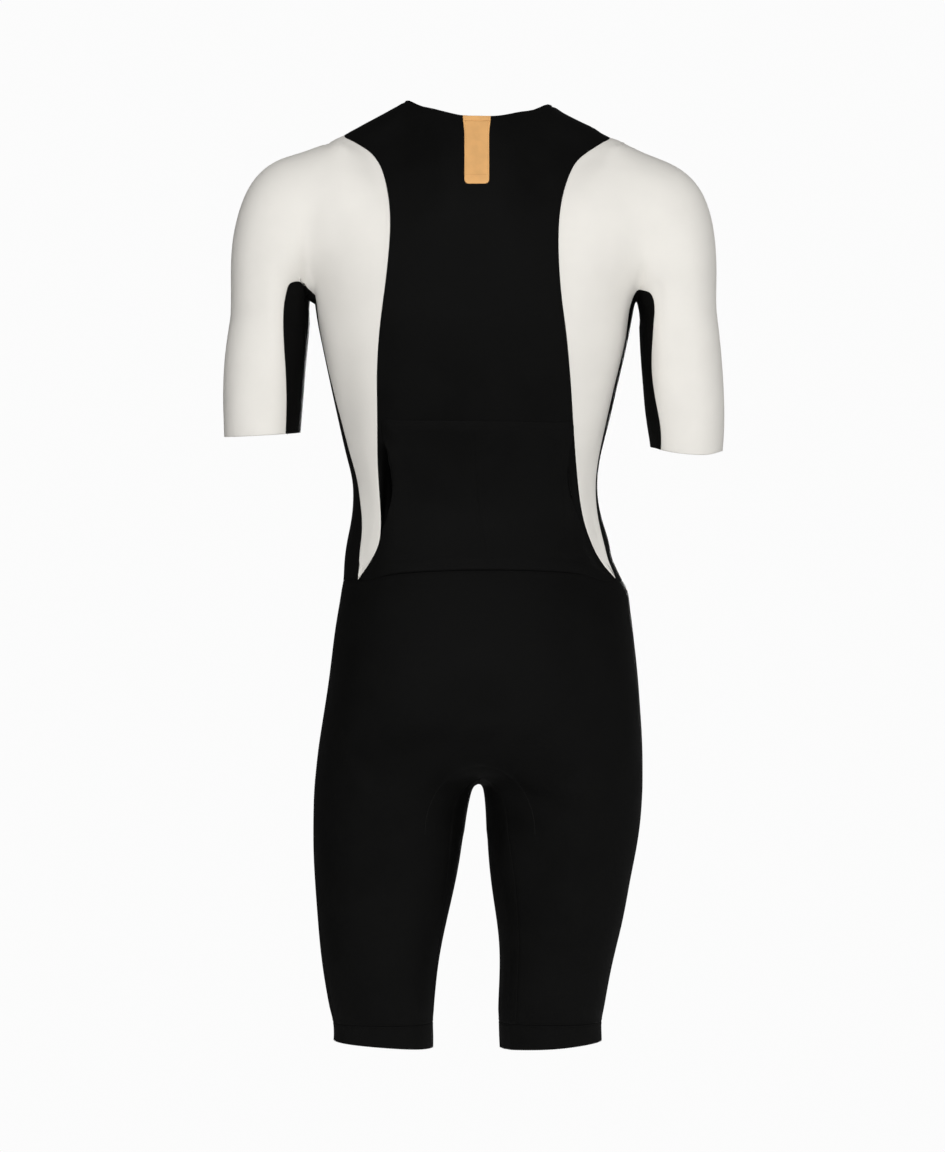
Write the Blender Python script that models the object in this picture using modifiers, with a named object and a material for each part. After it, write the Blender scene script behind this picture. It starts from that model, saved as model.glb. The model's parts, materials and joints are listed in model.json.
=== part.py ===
"""Short-sleeved triathlon suit, filled out as if worn, as thin sewn panels of cloth.

The whole outer surface is one coarse cage, lofted from the sections in the tables
below. A Subdivision Surface smooths it, and the panels are cut from the smooth surface
along its seams, each given its own wall. Tables are in millimetres and degrees, for the
left half of a suit standing straight. The pose tables then turn and shift both halves.
+Z is up, the back faces -Y, the wearer's left is -X, and the origin lies between the
two high points of the neckline, on the wearer's shoulders.
"""

import math
from collections import namedtuple

import bmesh
import bpy
import numpy as np
from mathutils import Matrix, Vector
from mathutils.bvhtree import BVHTree

MM = 0.001

FITTING_ROUNDS = 6  # how often the cage is moved to bring the smooth surface to the tables
SHARP_ANGLE = 50  # between faces of cloth, from which an edge shades sharp

# Cloth
WALL = 1.6  # body cloth
SEAM_GAP = 0.3  # between two panels, and under a piece that lies on a panel
LONGEST_MITRE = 2.0  # how far a sharp corner draws back from its seam
POCKET_WALL = 1.2
POCKET_LIFT = 0.8  # the pocket stands off the back a little
TAB_WALL = 1.2
TAPE_WALL = 1.0
TAPE_LIFT = 0.5

# Sections of the body from the armpits to the seat, from the centre of the back (0
# degrees) round the side (90) to the centre of the front (180). fullness is the
# exponent of the section's rounded outline: 2 is an ellipse, more is squarer.
# princess: how far from the centre line the black centre panel ends.
# side_seam: the angle at which the light panel meets the side panel.
Section = namedtuple("Section", "z half_width back front fullness princess side_seam")
CHEST = Section(-207, 169.0, 103, 112, 2.50, 93.0, 82)
TORSO = [
    Section(-240, 163.0, 104, 116, 2.45, 96.0, 82),
    Section(-288, 152.7, 100, 115, 2.35, 99.7, 79),
    Section(-337, 141.8, 92, 109, 2.25, 101.3, 75.5),
    Section(-380, 132.3, 83, 104, 2.20, 103.5, 76),
    Section(-424, 129.8, 77, 101, 2.20, 105.0, 73),
    Section(-462, 137.7, 83, 101, 2.20, 111.8, 69),
]
WAIST = Section(-491, 145.5, 93, 103, 2.20, 135.5, 67)
WAIST_DIP = 11  # how much lower the waist seam runs at the sides than at the centre
SEAT = [
    Section(-545, 156.8, 111, 103, 2.25, 0, 66),
    Section(-595, 162.0, 122, 101, 2.35, 0, 65),
    Section(-640, 166.5, 119, 98, 2.55, 0, 64),
    Section(-677, 170.2, 111, 95, 2.85, 0, 62),
]

# The neckline and the shoulder ridge, from the centre outwards. slope is how steeply
# the cloth falls away from that point, and reach how far it keeps that slope.
Top = namedtuple("Top", "x y z slope reach")
BACK_TOP = [
    Top(0, -60, -22.5, 62, 45),
    Top(39, -51, -16.0, 52, 45),
    Top(77, -4, 0, 35, 55),
    Top(140.7, -4, -35.7, 18, 50),
]
FRONT_TOP = [
    Top(0, 66, -76, 68, 40),
    Top(42, 52, -60, 60, 42),
    Top(77, -4, 0, 38, 55),
    Top(140.7, -4, -35.7, 22, 50),
]
RISE = 0.55  # the share of its height over which the cloth tends straight up
UPPER_ROWS = 4  # rows of the cage between the armpits and the shoulder ridge
# How far from the centre line the princess seam runs in each of those rows, from the
# armpits up; in the last it meets the ridge.
PRINCESS_UP = [93.0, 87.5, 92.0, 113.0]
BLADE = [8, 6, 6, 4]  # how far the light panel swells out between its seams there

# Sections of a sleeve, from the armhole to the cuff. outer and inner are the two ends
# of the section seen from behind, as x and z. depth is half its size front to back.
# under_seam is the angle from the inner end to the seam of the under-arm panel.
Ring = namedtuple("Ring", "outer_x outer_z inner_x inner_z depth under_seam turn")
SLEEVE = [
    Ring(161.0, -45.0, 169.0, -208.0, 68, 34, 0),
    Ring(200.0, -60.0, 172.5, -212.0, 65, 38, -3),
    Ring(238.5, -93.0, 173.0, -219.0, 61, 48, -6),
    Ring(253.5, -143.0, 173.5, -234.0, 57, 56, -8),
    Ring(255.7, -198.0, 174.5, -257.0, 54, 57, -9),
    Ring(259.5, -252.0, 177.0, -286.0, 51, 51, -8),
    Ring(263.0, -307.0, 179.5, -320.0, 50, 47, -6),
    Ring(262.0, -361.0, 181.7, -355.0, 49, 47, -5),
]
SLEEVE_FULLNESS = 2.1

# Sections of a leg, from the fork to the hem. axis is how far the leg's centre is from
# the centre line. inseam is the angle from the leg's back to the inner-leg seam.
Leg = namedtuple("Leg", "z axis half_width back front inseam turn")
FORK = Leg(-716, 89.7, 82.2, 100, 90, 50, 0)
LEGS = [
    Leg(-731, 90.2, 82.0, 97, 88, 48, 1),
    Leg(-770, 92.1, 79.0, 89, 84, 49, 4),
    Leg(-815, 92.4, 73.5, 81, 79, 51, 8),
    Leg(-865, 93.2, 66.4, 74, 72, 54, 12),
    Leg(-915, 91.9, 59.3, 66, 66, 60, 16),
    Leg(-965, 88.3, 53.7, 60, 60, 63, 18),
    Leg(-988, 87.9, 52.4, 58, 58, 64, 19),
]
LEG_FULLNESS = 2.15
HEM_SLOPE = 4  # how much lower the leg's hem hangs on its inner side than at its middle
# The crotch between the legs, from the centre of the back to the centre of the front.
CROTCH = [(-58, -712), (-30, -718), (0, -719.5), (30, -716), (60, -706)]  # y, z

# The pose: below the chest the suit turns a little, which brings its left side further
# back, and the hips stand to the right of the shoulders.
Pose = namedtuple("Pose", "z shift turn tilt")
POSE = [
    Pose(0, 0.5, 0, 1.2),
    Pose(-36, -1.5, 0, 0.5),
    Pose(-110, -4.5, 0, 0.7),
    Pose(-207, -4.5, 0.3, 1.2),
    Pose(-340, -4.7, 3.5, 0.6),
    Pose(-390, -4.7, 5.5, 0.3),
    Pose(-450, 0, 5.5, 0),
    Pose(-515, 6.5, 5.5, 0),
    Pose(-560, 7.5, 5.5, 0),
    Pose(-630, 4.5, 4.5, 0),
    Pose(-716, 0, 3, 0),
    Pose(-770, -3.4, 3, 0),
    Pose(-815, -5.8, 3, 0),
    Pose(-865, -8.1, 3, 0),
    Pose(-915, -11, 3, 0),
    Pose(-990, -11.7, 3, 0),
]
LOWEST_TILT = -207  # sleeves keep the tilt of this height further down
SLEEVE_SHIFT = -4.5
CUFF_DROP = 4.5  # how much lower the right cuff hangs, and how much higher the left

# What lies on the panels
POCKET_INSET = 2.5  # the pocket's side edges stand in from the princess seams
ENTRY_DEPTH = 10.5  # how much further they curve in at the two hand openings
ENTRY = (-352, -446)  # the openings' upper and lower ends
POCKET_SIDE = 80  # edge points this far from the centre line are on the pocket's sides
TAB_WIDTH, TAB_TOP, TAB_BOTTOM = 28.5, -24, -93.5
TAB_CORNER = 3.5
TAB_SHIFT = -2
TAB_LIFT = 0.5
TAB_ROWS = 9  # above its rounded lower edge
BEHIND_SUIT = -300  # y from which the tab's points are cast onto the back
TAPE_WIDTH = 7.0
TEETH_GAP = 1.2  # between the two tapes
SLIDER = (7.6, 8.6, 2.4)  # across, along and out from the zip
SLIDER_ROUNDING = 0.5
SLIDER_BELOW_NECK = 12
SLIDER_LIFT = 0.6
EAR = (1.0, 3.0, 3.2)  # the two ears that hold the pull tab's pin
EAR_SPAN = 3.9  # between their middles
EAR_SUNK = 0.5  # how deep they reach into the slider
PIN_RADIUS = 0.6
PIN_COVER = 0.6  # of ear around the pin
PULL = (2.3, 21.0, 1.2)  # the tab's stem across, its whole length and its thickness
PULL_STEM = (0.45, 0.4, 0.3)  # half the stem as a share of PULL[0], its start, its end
PULL_GRIP_WIDTH = 6.4
GRIP_STEPS = 7  # points on a quarter of the grip's round end
EYE_WALL = 0.9
PULL_CLEARANCE = 0.12  # between the pull tab's eye and its pin
PULL_DROOP = 9  # degrees by which the pull tab leans from its pin to the tapes

LEFT, RIGHT = -1, 1
SIDES = {LEFT: "left", RIGHT: "right"}

# name: (linear colour, roughness, metallic)
FINISHES = {
    "black_knit": ((0.008, 0.008, 0.009, 1), 0.62, 0.0),
    "white_knit": ((0.78, 0.76, 0.71, 1), 0.75, 0.0),
    "tan_tab": ((0.72, 0.36, 0.11, 1), 0.6, 0.0),
    "zip_tape": ((0.012, 0.012, 0.013, 1), 0.8, 0.0),
    "zip_metal": ((0.03, 0.03, 0.032, 1), 0.35, 0.8),
}


def material(name):
    made = bpy.data.materials.get(name)
    if made:
        return made
    colour, roughness, metallic = FINISHES[name]
    made = bpy.data.materials.new(name)
    made.use_nodes = True
    shader = made.node_tree.nodes["Principled BSDF"]
    shader.inputs["Base Color"].default_value = colour
    shader.inputs["Roughness"].default_value = roughness
    shader.inputs["Metallic"].default_value = metallic
    return made


def clear_scene():
    for thing in list(bpy.data.objects):
        bpy.data.objects.remove(thing, do_unlink=True)


# Points of the suit, left half, before the pose


def rounded(angle, width, back, front, fullness):
    """x and y on a rounded section, from the centre of the back round the left side."""
    power = 2 / fullness
    s, c = math.sin(math.radians(angle)), math.cos(math.radians(angle))
    x = -math.copysign(abs(s) ** power, s) * width
    y = -(abs(c) ** power) * back if c > 0 else abs(c) ** power * front
    return x, y


def angle_at(offset, section):
    """The angle at which a section is this far from the centre line."""
    share = (offset / section.half_width) ** (section.fullness / 2)
    return math.degrees(math.asin(min(share, 1)))


def on_body(section, angle, z=None):
    x, y = rounded(angle, section.half_width, section.back, section.front, section.fullness)
    return Vector((x, y, section.z if z is None else z))


def body_angles(section):
    """The 13 columns of half a torso row: centre back, princess seam at 3, side seams at
    5 and 7, princess seam at 9, centre front."""
    princess, side = angle_at(section.princess, section), section.side_seam
    back = [0, princess / 3, princess * 2 / 3, princess, (princess + side) / 2, side]
    return back + [90] + [180 - angle for angle in reversed(back)]


def rise(foot, top, x, share, way):
    """A point on the cloth between the chest row and the neckline or shoulder ridge."""
    slope = math.radians(top.slope)
    end = Vector((-top.x, top.y, top.z))
    turn = end + top.reach * Vector((0, way * math.cos(slope), -math.sin(slope)))
    up = foot + Vector((0, 0, RISE * (end.z - foot.z)))
    a, b = 1 - share, share
    point = foot * a**3 + up * 3 * a * a * b + turn * 3 * a * b * b + end * b**3
    return Vector((-x, point.y, point.z))


def upper_column(column, row, tops, way):
    """A point of the upper back (way -1) or front (way 1), columns 0 to 3 outwards."""
    top = tops[column]
    if row == UPPER_ROWS:
        return Vector((-top.x, top.y, top.z))
    start = angle_at(PRINCESS_UP[0] * column / 3, CHEST)
    foot = on_body(CHEST, start if way < 0 else 180 - start)
    return rise(foot, top, PRINCESS_UP[row] * column / 3, row / UPPER_ROWS, way)


def on_ring(ring, angle):
    """A point of a sleeve's section: 0 is the inner end, and the back comes first."""
    power = 2 / SLEEVE_FULLNESS
    s, c = math.sin(math.radians(angle)), math.cos(math.radians(angle))
    along = math.copysign(abs(c) ** power, c)
    across = math.copysign(abs(s) ** power, s)
    outer = Vector((-ring.outer_x, 0, ring.outer_z))
    inner = Vector((-ring.inner_x, 0, ring.inner_z))
    middle, half = (outer + inner) / 2, (inner - outer) / 2
    return middle + half * along - Vector((0, ring.depth * across, 0))


def ring_angles(ring):
    """The 10 columns of a sleeve's row, from the inner end round by the back."""
    seam = ring.under_seam
    back = [seam + (180 - seam) * step / UPPER_ROWS for step in range(UPPER_ROWS)]
    return [0] + back + [180] + [360 - angle for angle in reversed(back)]


def on_leg(leg, angle):
    """A point of a leg's section: 0 is its back, 90 its inner side."""
    x, y = rounded(angle, leg.half_width, leg.back, leg.front, LEG_FULLNESS)
    return Vector((-leg.axis - x, y, leg.z))


def leg_angles(leg):
    """The 12 columns of a leg's row: from the inner-leg seam at the back over the outer
    side to the one at the front, then the three columns between the legs."""
    seam = leg.inseam
    outer = [seam - (seam + 90) * step / 4 for step in range(4)]
    front = [-180 - angle for angle in reversed(outer)]
    inner = [180 - seam, (270 - seam) / 2, 90, (90 + seam) / 2]
    return outer + [-90] + front[:-1] + inner


# The pose


def pose_at(z):
    heights = [row.z for row in reversed(POSE)]
    return [
        np.interp(z, heights, [row[field] for row in reversed(POSE)]) for field in (1, 2, 3)
    ]


def posed(point, side):
    """A point of the body or a leg, on its own side, shifted and turned."""
    shift, turn, tilt = pose_at(point.z)
    x = -point.x * side
    turned = Matrix.Rotation(math.radians(turn), 3, "Z") @ Vector((x, point.y, 0))
    return Vector((turned.x + shift, turned.y, point.z - x * math.sin(math.radians(tilt))))


def posed_sleeve(point, side, share):
    """A point of a sleeve, this share of the way from the armhole to the cuff."""
    tilt = pose_at(max(point.z, LOWEST_TILT))[2]
    x = -point.x * side
    z = point.z - x * math.sin(math.radians(tilt)) - side * CUFF_DROP * share
    return Vector((x + SLEEVE_SHIFT, point.y, z))


# The cage

ZONES = [
    "back_centre",
    "pocket_place",
    "front_left",
    "front_right",
    "sleeve_left",
    "sleeve_right",
    "side_left",
    "side_right",
    "shorts_back",
    "shorts_front",
    "inner_leg_left",
    "inner_leg_right",
    "hem_band_left",
    "hem_band_right",
]


class Cage:
    """The coarse surface of the whole suit, as lofts between rows of shared points."""

    def __init__(self):
        self.points = []
        self.faces = []
        self.zones = []

    def add(self, point):
        self.points.append(point)
        return len(self.points) - 1

    def loft(self, low, high, zones, flip):
        """Faces between two rows; where points coincide a face has three corners."""
        for step, zone in enumerate(zones):
            corners = [low[step], low[step + 1], high[step + 1], high[step]]
            corners = list(dict.fromkeys(corners))
            if len(corners) > 2:
                self.faces.append(corners[::-1] if flip else corners)
                self.zones.append(ZONES.index(zone))


def centre_points(cage):
    """Points on the centre line, shared by both halves: {(row name, column): index}."""
    shared = {}
    for row in range(UPPER_ROWS + 1):
        back = upper_column(0, row, BACK_TOP, -1)
        front = upper_column(0, row, FRONT_TOP, 1)
        shared["up", row, 0] = cage.add(posed(back, LEFT))
        shared["up", row, 12] = cage.add(posed(front, LEFT))
    for row, section in enumerate(TORSO + [WAIST] + SEAT):
        shared["down", row, 0] = cage.add(posed(on_body(section, 0), LEFT))
        shared["down", row, 12] = cage.add(posed(on_body(section, 180), LEFT))
    for step, (y, z) in enumerate(CROTCH):
        shared["crotch", step] = cage.add(posed(Vector((0, y, z)), LEFT))
    return shared


def upper_rows(cage, side, shared):
    """Rows from the armpits to the shoulder: lists of 13 points, the sixth only in the
    first, where it is the armpit."""
    armhole = SLEEVE[0]
    angles = ring_angles(armhole)
    rows = []
    for row in range(UPPER_ROWS + 1):
        line = [None] * 13
        line[0], line[12] = shared["up", row, 0], shared["up", row, 12]
        at_top = row == UPPER_ROWS
        back = {c: upper_column(c, row, BACK_TOP, -1) for c in (1, 2, 3)}
        back[5] = on_ring(armhole, angles[row + 1])
        back[4] = (back[3] + back[5]) / 2
        front = {12 - c: upper_column(c, row, FRONT_TOP, 1) for c in (1, 2, 3)}
        front[7] = on_ring(armhole, 360 - angles[row + 1])
        front[8] = (front[9] + front[7]) / 2
        if at_top:  # the shoulder ridge is one line, but for the neckline
            front = {11: front[11]}
        else:
            back[4].y -= BLADE[row]
            front[8].y += BLADE[row]
        for column, point in {**back, **front}.items():
            line[column] = cage.add(posed(point, side))
        if at_top:
            line[7:11] = [line[5], line[4], line[3], line[2]]
        rows.append(line)
    rows[0][6] = cage.add(posed(on_ring(armhole, 0), side))
    return rows


def torso_rows(cage, side, shared):
    rows = []
    for row, section in enumerate(TORSO + [WAIST]):
        line = [shared["down", row, 0]]
        at_waist = section is WAIST
        for column, angle in enumerate(body_angles(section)[1:-1], 1):
            if at_waist and column in (4, 5, 8, 9):  # the light panel ends in a point
                line.append(line[3] if column < 6 else line[7])
                continue
            dip = WAIST_DIP * math.sin(math.radians(angle)) ** 2 if at_waist else 0
            line.append(cage.add(posed(on_body(section, angle, section.z - dip), side)))
        line.append(shared["down", row, 12])
        rows.append(line)
    return rows


def seat_rows(cage, side, shared, waist):
    """Nine columns: centre back, the tips of the light panels at 3 and 5, the side at 4."""
    rows = [waist[:4] + [waist[6]] + waist[9:]]
    for row, section in enumerate(SEAT, len(TORSO) + 1):
        tip = section.side_seam
        back = [tip / 3, tip * 2 / 3, tip]
        line = [shared["down", row, 0]]
        for angle in back + [90] + [180 - angle for angle in reversed(back)]:
            line.append(cage.add(posed(on_body(section, angle), side)))
        line.append(shared["down", row, 12])
        rows.append(line)
    return rows


def leg_rows(cage, side, shared):
    """Rings of 12 columns; the first shares the crotch with the other leg."""
    first = [shared["crotch", 0]]
    for angle in leg_angles(FORK)[1:8]:
        first.append(cage.add(posed(on_leg(FORK, angle), side)))
    first += [shared["crotch", step] for step in (4, 3, 2, 1)]
    rows = [first]
    for leg in LEGS:
        line = []
        for angle in leg_angles(leg):
            point = on_leg(leg, angle - leg.turn * side)
            if leg is LEGS[-1]:
                point.z -= HEM_SLOPE * (point.x + leg.axis) / leg.half_width
            line.append(cage.add(posed(point, side)))
        rows.append(line)
    return rows


def sleeve_rows(cage, side, upper):
    back = [upper[row][5] for row in range(UPPER_ROWS)]
    front = [upper[row][7] for row in reversed(range(UPPER_ROWS))]
    rows = [[upper[0][6]] + back + [upper[UPPER_ROWS][5]] + front]
    for step, ring in enumerate(SLEEVE[1:], 1):
        share = step / (len(SLEEVE) - 1)
        line = []
        for angle in ring_angles(ring):
            point = on_ring(ring, angle + ring.turn * side)
            line.append(cage.add(posed_sleeve(point, side, share)))
        rows.append(line)
    return rows


def closed(row):
    return row + row[:1]


def build_cage():
    cage = Cage()
    shared = centre_points(cage)
    for side, word in SIDES.items():
        flip = side == LEFT
        front, sleeve, flank = f"front_{word}", f"sleeve_{word}", f"side_{word}"
        inner, band = f"inner_leg_{word}", f"hem_band_{word}"
        upper = upper_rows(cage, side, shared)
        for low, high in zip(upper, upper[1:]):
            cage.loft(low[:6], high[:6], ["back_centre"] * 3 + [sleeve] * 2, flip)
            cage.loft(low[7:], high[7:], [sleeve] * 2 + [front] * 3, flip)
        torso = [upper[0]] + torso_rows(cage, side, shared)
        for row, (high, low) in enumerate(zip(torso, torso[1:])):
            centre = "pocket_place" if row >= 3 else "back_centre"
            zones = [centre] * 3 + [sleeve] * 2 + [flank] * 2 + [sleeve] * 2 + [front] * 3
            cage.loft(low, high, zones, flip)
        seat = seat_rows(cage, side, shared, torso[-1])
        legs = leg_rows(cage, side, shared)
        halves = ["shorts_back"] * 4 + ["shorts_front"] * 4
        for high, low in zip(seat, seat[1:] + [legs[0][:9]]):
            cage.loft(low, high, halves, flip)
        for high, low in zip(legs, legs[1:]):
            zones = [band] * 12 if low is legs[-1] else halves + [inner] * 4
            cage.loft(closed(low), closed(high), zones, flip)
        rings = sleeve_rows(cage, side, upper)
        for high, low in zip(rings, rings[1:]):
            zones = [flank] + [sleeve] * 8 + [flank]
            cage.loft(closed(low), closed(high), zones, flip)
    return cage


# The smooth surface


class Surface:
    """The suit's smooth outer surface: points, shared normals, triangles and their zones.
    Whatever is cut from it shares its triangles, so pieces lie flat on each other."""

    def __init__(self, mesh):
        self.points = [v.co.copy() / MM for v in mesh.vertices]
        self.normals = [v.normal.copy() for v in mesh.vertices]
        self.faces, self.zones = [], []
        for face in mesh.polygons:
            for corners in self.halves(list(face.vertices)):
                self.faces.append(corners)
                self.zones.append(ZONES[face.material_index])
        self.tree = BVHTree.FromPolygons(self.points, self.faces)
        self.uses = {}
        for face in self.faces:
            for edge in edges_of(face):
                self.uses[frozenset(edge)] = self.uses.get(frozenset(edge), 0) + 1

    def halves(self, quad):
        """A quad as two triangles, cut along its shorter diagonal."""
        a, b, c, d = (self.points[i] for i in quad)
        if (a - c).length > (b - d).length:
            quad = quad[1:] + quad[:1]
        return [quad[:3], [quad[0], quad[2], quad[3]]]


def edges_of(face):
    return list(zip(face, face[1:] + face[:1]))


def smooth_surface(cage):
    """Subdivides the cage, after moving its points until the smooth surface passes
    through the places that the tables give."""
    mesh = bpy.data.meshes.new("suit_cage")
    mesh.from_pydata([point * MM for point in cage.points], [], cage.faces)
    for name in ZONES:
        mesh.materials.append(bpy.data.materials.new(f"zone_{name}"))
    mesh.polygons.foreach_set("material_index", cage.zones)
    thing = bpy.data.objects.new("suit_cage", mesh)
    bpy.context.scene.collection.objects.link(thing)
    subdivision = thing.modifiers.new("smooth", "SUBSURF")
    subdivision.levels = subdivision.render_levels = 1
    target = np.array([point * MM for point in cage.points])
    current = target.copy()
    for _ in range(FITTING_ROUNDS):
        shown = evaluated(thing)
        got = np.array([v.co for v in shown.vertices[: len(target)]])
        bpy.data.meshes.remove(shown)
        current += target - got
        mesh.vertices.foreach_set("co", current.ravel())
        mesh.update()
    smooth = evaluated(thing)
    surface = Surface(smooth)
    bpy.data.meshes.remove(smooth)
    bpy.data.objects.remove(thing, do_unlink=True)
    bpy.data.meshes.remove(mesh)
    return surface


def evaluated(thing):
    bpy.context.view_layer.update()
    graph = bpy.context.evaluated_depsgraph_get()
    return bpy.data.meshes.new_from_object(thing.evaluated_get(graph), depsgraph=graph)


# Panels


def seam_moves(surface, faces, gap):
    """How each point on the edge of some faces draws back from its seams."""
    inward = {}
    counts = {}
    for face in faces:
        for edge in edges_of(face):
            counts[frozenset(edge)] = counts.get(frozenset(edge), 0) + 1
    for face in faces:
        for start, end in edges_of(face):
            if counts[frozenset((start, end))] > 1:
                continue
            normal = (surface.normals[start] + surface.normals[end]).normalized()
            along = (surface.points[end] - surface.points[start]).normalized()
            sewn = surface.uses[frozenset((start, end))] > 1
            for corner in (start, end):
                inward.setdefault(corner, []).append((normal.cross(along), gap if sewn else 0))
    moves = {}
    for corner, pulls in inward.items():
        ways = np.array([way for way, _ in pulls])
        move = np.linalg.pinv(ways, rcond=0.03) @ np.array([size for _, size in pulls])
        length = np.linalg.norm(move)
        if length > LONGEST_MITRE:
            move *= LONGEST_MITRE / length
        moves[corner] = Vector(move)
    return moves


def walled(outer, inner, faces):
    """Points and faces of a closed wall between two copies of an open sheet. Two pieces
    that meet at a seam cut their rims along the same diagonals, so the rims stay apart."""
    count = len(outer)
    walls = [face[:] for face in faces]
    walls += [[i + count for i in reversed(face)] for face in faces]
    directed = {edge for face in faces for edge in edges_of(face)}
    for start, end in sorted(directed):
        if (end, start) in directed:
            continue
        if start < end:
            walls += [[end, start, end + count], [start, start + count, end + count]]
        else:
            walls += [[end, start, start + count], [end, start + count, end + count]]
    return outer + inner, walls


def cloth(name, points, faces, finish):
    mesh = bpy.data.meshes.new(name)
    mesh.from_pydata([point * MM for point in points], [], faces)
    mesh.materials.append(material(finish))
    mesh.shade_smooth()
    mesh.set_sharp_from_angle(angle=math.radians(SHARP_ANGLE))
    mesh.update()
    thing = bpy.data.objects.new(name, mesh)
    bpy.data.collections["triathlon_suit"].objects.link(thing)
    return thing


def local(faces):
    """Faces renumbered from 0, and the old numbers in their new order."""
    used = sorted({corner for face in faces for corner in face})
    place = {old: new for new, old in enumerate(used)}
    return used, [[place[corner] for corner in face] for face in faces]


def panel(name, surface, zones, finish, lift=0.0, wall=WALL, inset=None):
    """One cut piece: the surface's faces in these zones, with a wall and drawn seams."""
    faces = [f for f, zone in zip(surface.faces, surface.zones) if zone in zones]
    moves = seam_moves(surface, faces, SEAM_GAP / 2)
    used, numbered = local(faces)
    outer, inner = [], []
    for i in used:
        place, normal = surface.points[i] + moves.get(i, Vector()), surface.normals[i]
        depth = inset(place) if inset and i in moves else 0
        if depth:
            inland = surface.points[towards_centre(surface, faces, i)] - surface.points[i]
            place += inland.normalized() * depth
        outer.append(place + normal * lift)
        inner.append(place + normal * (lift - wall))
    return cloth(name, *walled(outer, inner, numbered), finish)


def towards_centre(surface, faces, corner):
    """The point next to this one in these faces that lies most directly inwards."""
    here = surface.points[corner]
    inwards = Vector((math.copysign(1, pose_at(here.z)[0] - here.x), 0, 0))
    around = {i for face in faces if corner in face for i in face} - {corner}
    return max(around, key=lambda i: inwards.dot((surface.points[i] - here).normalized()))


def pocket_inset(place):
    """How far the pocket's side edge stands in from the princess seam at this height."""
    top, bottom = ENTRY
    share = (place.z - bottom) / (top - bottom)
    if abs(place.x - pose_at(place.z)[0]) < POCKET_SIDE or place.z < WAIST.z:
        return 0
    return POCKET_INSET + (ENTRY_DEPTH * math.sin(math.pi * share) if 0 < share < 1 else 0)


def neck_tab(surface):
    """A flat tab sewn on below the back of the neck, with rounded lower corners."""
    half = TAB_WIDTH / 2
    across = [-half, -half + TAB_CORNER, 0, half - TAB_CORNER, half]
    rows = np.linspace(TAB_TOP, TAB_BOTTOM + TAB_CORNER, TAB_ROWS).tolist() + [TAB_BOTTOM]
    outer, inner, faces = [], [], []
    for row, z in enumerate(rows):
        for column, x in enumerate(across):
            corner = row == len(rows) - 1 and column in (0, 4)
            cut = TAB_CORNER * (1 - math.sqrt(0.5)) if corner else 0
            ray = Vector((x + TAB_SHIFT - math.copysign(cut, x), BEHIND_SUIT, z + cut))
            place, normal, _, _ = surface.tree.ray_cast(ray, Vector((0, 1, 0)))
            outer.append(place + normal * (TAB_LIFT + TAB_WALL))
            inner.append(place + normal * TAB_LIFT)
    wide = len(across)
    for row in range(len(rows) - 1):
        for column in range(wide - 1):
            a = row * wide + column
            faces.append([a, a + wide, a + wide + 1, a + 1])
    cloth("neck_tab", *walled(outer, inner, faces), "tan_tab")


# The zip at the centre of the front


def zip_line(surface):
    """The seam between the fronts, from the neck down: (point, normal, left, right)."""
    sides = {}
    for face, zone in zip(surface.faces, surface.zones):
        if zone.startswith("front_"):
            for corner in face:
                sides.setdefault(corner, {}).setdefault(zone, []).append(face)
    line = []
    for corner, zones in sides.items():
        if len(zones) == 2:
            point = surface.points[corner]
            near = {}
            for zone, faces in zones.items():
                edges = [edge for face in faces for edge in edges_of(face) if corner in edge]
                linked = {i for edge in edges for i in edge} - {corner}
                ways = [(surface.points[i] - point).normalized() for i in linked]
                near[zone] = max(ways, key=lambda way: abs(way.x))
            ways = near["front_left"], near["front_right"]
            line.append((point, surface.normals[corner], *ways))
    return sorted(line, key=lambda entry: -entry[0].z)


def zip_tapes(line):
    for word, field in (("left", 2), ("right", 3)):
        outer, inner, faces = [], [], []
        for step, entry in enumerate(line):
            point, normal, way = entry[0], entry[1], entry[field]
            for distance in (TEETH_GAP / 2, TAPE_WIDTH):
                place = point + way * distance
                outer.append(place + normal * (TAPE_LIFT + TAPE_WALL))
                inner.append(place + normal * TAPE_LIFT)
            if step:
                a = 2 * step - 2
                corners = [a, a + 1, a + 3, a + 2]
                faces.append(corners[::-1] if word == "left" else corners)
        cloth(f"zip_tape_{word}", *walled(outer, inner, faces), "zip_tape")


def box(size, place):
    """A bmesh box of this size, with its centre at this place."""
    shape = bmesh.new()
    placing = Matrix.Translation(place) @ Matrix.Diagonal((*size, 1))
    bmesh.ops.create_cube(shape, size=1, matrix=placing)
    return shape


def rod(radius, length, place, segments=16):
    """A bmesh cylinder lying across the zip."""
    shape = bmesh.new()
    across = Matrix.Translation(place) @ Matrix.Rotation(math.pi / 2, 4, "Y")
    bmesh.ops.create_cone(
        shape, cap_ends=True, segments=segments, radius1=radius, radius2=radius, depth=length,
        matrix=across,
    )
    return shape


def pull_plate():
    """The pull tab's flat plate: a narrow stem that widens to a grip with a round end."""
    stem, length, thick = PULL
    share, start, end = PULL_STEM
    neck, half = length * end, PULL_GRIP_WIDTH / 2
    edge = [(stem * share, start), (stem * share, neck), (half, neck + half)]
    for step in range(GRIP_STEPS):
        turn = math.radians(90 * step / (GRIP_STEPS - 1))
        edge.append((half * math.cos(turn), length - half + half * math.sin(turn)))
    outline = edge + [(-x, y) for x, y in reversed(edge[:-1])]
    shape = bmesh.new()
    face = shape.faces.new([shape.verts.new((x, y, -thick / 2)) for x, y in outline])
    grown = bmesh.ops.extrude_face_region(shape, geom=[face])["geom"]
    corners = [item for item in grown if isinstance(item, bmesh.types.BMVert)]
    bmesh.ops.translate(shape, verts=corners, vec=(0, 0, thick))
    bmesh.ops.recalc_face_normals(shape, faces=shape.faces)
    return shape


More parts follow.
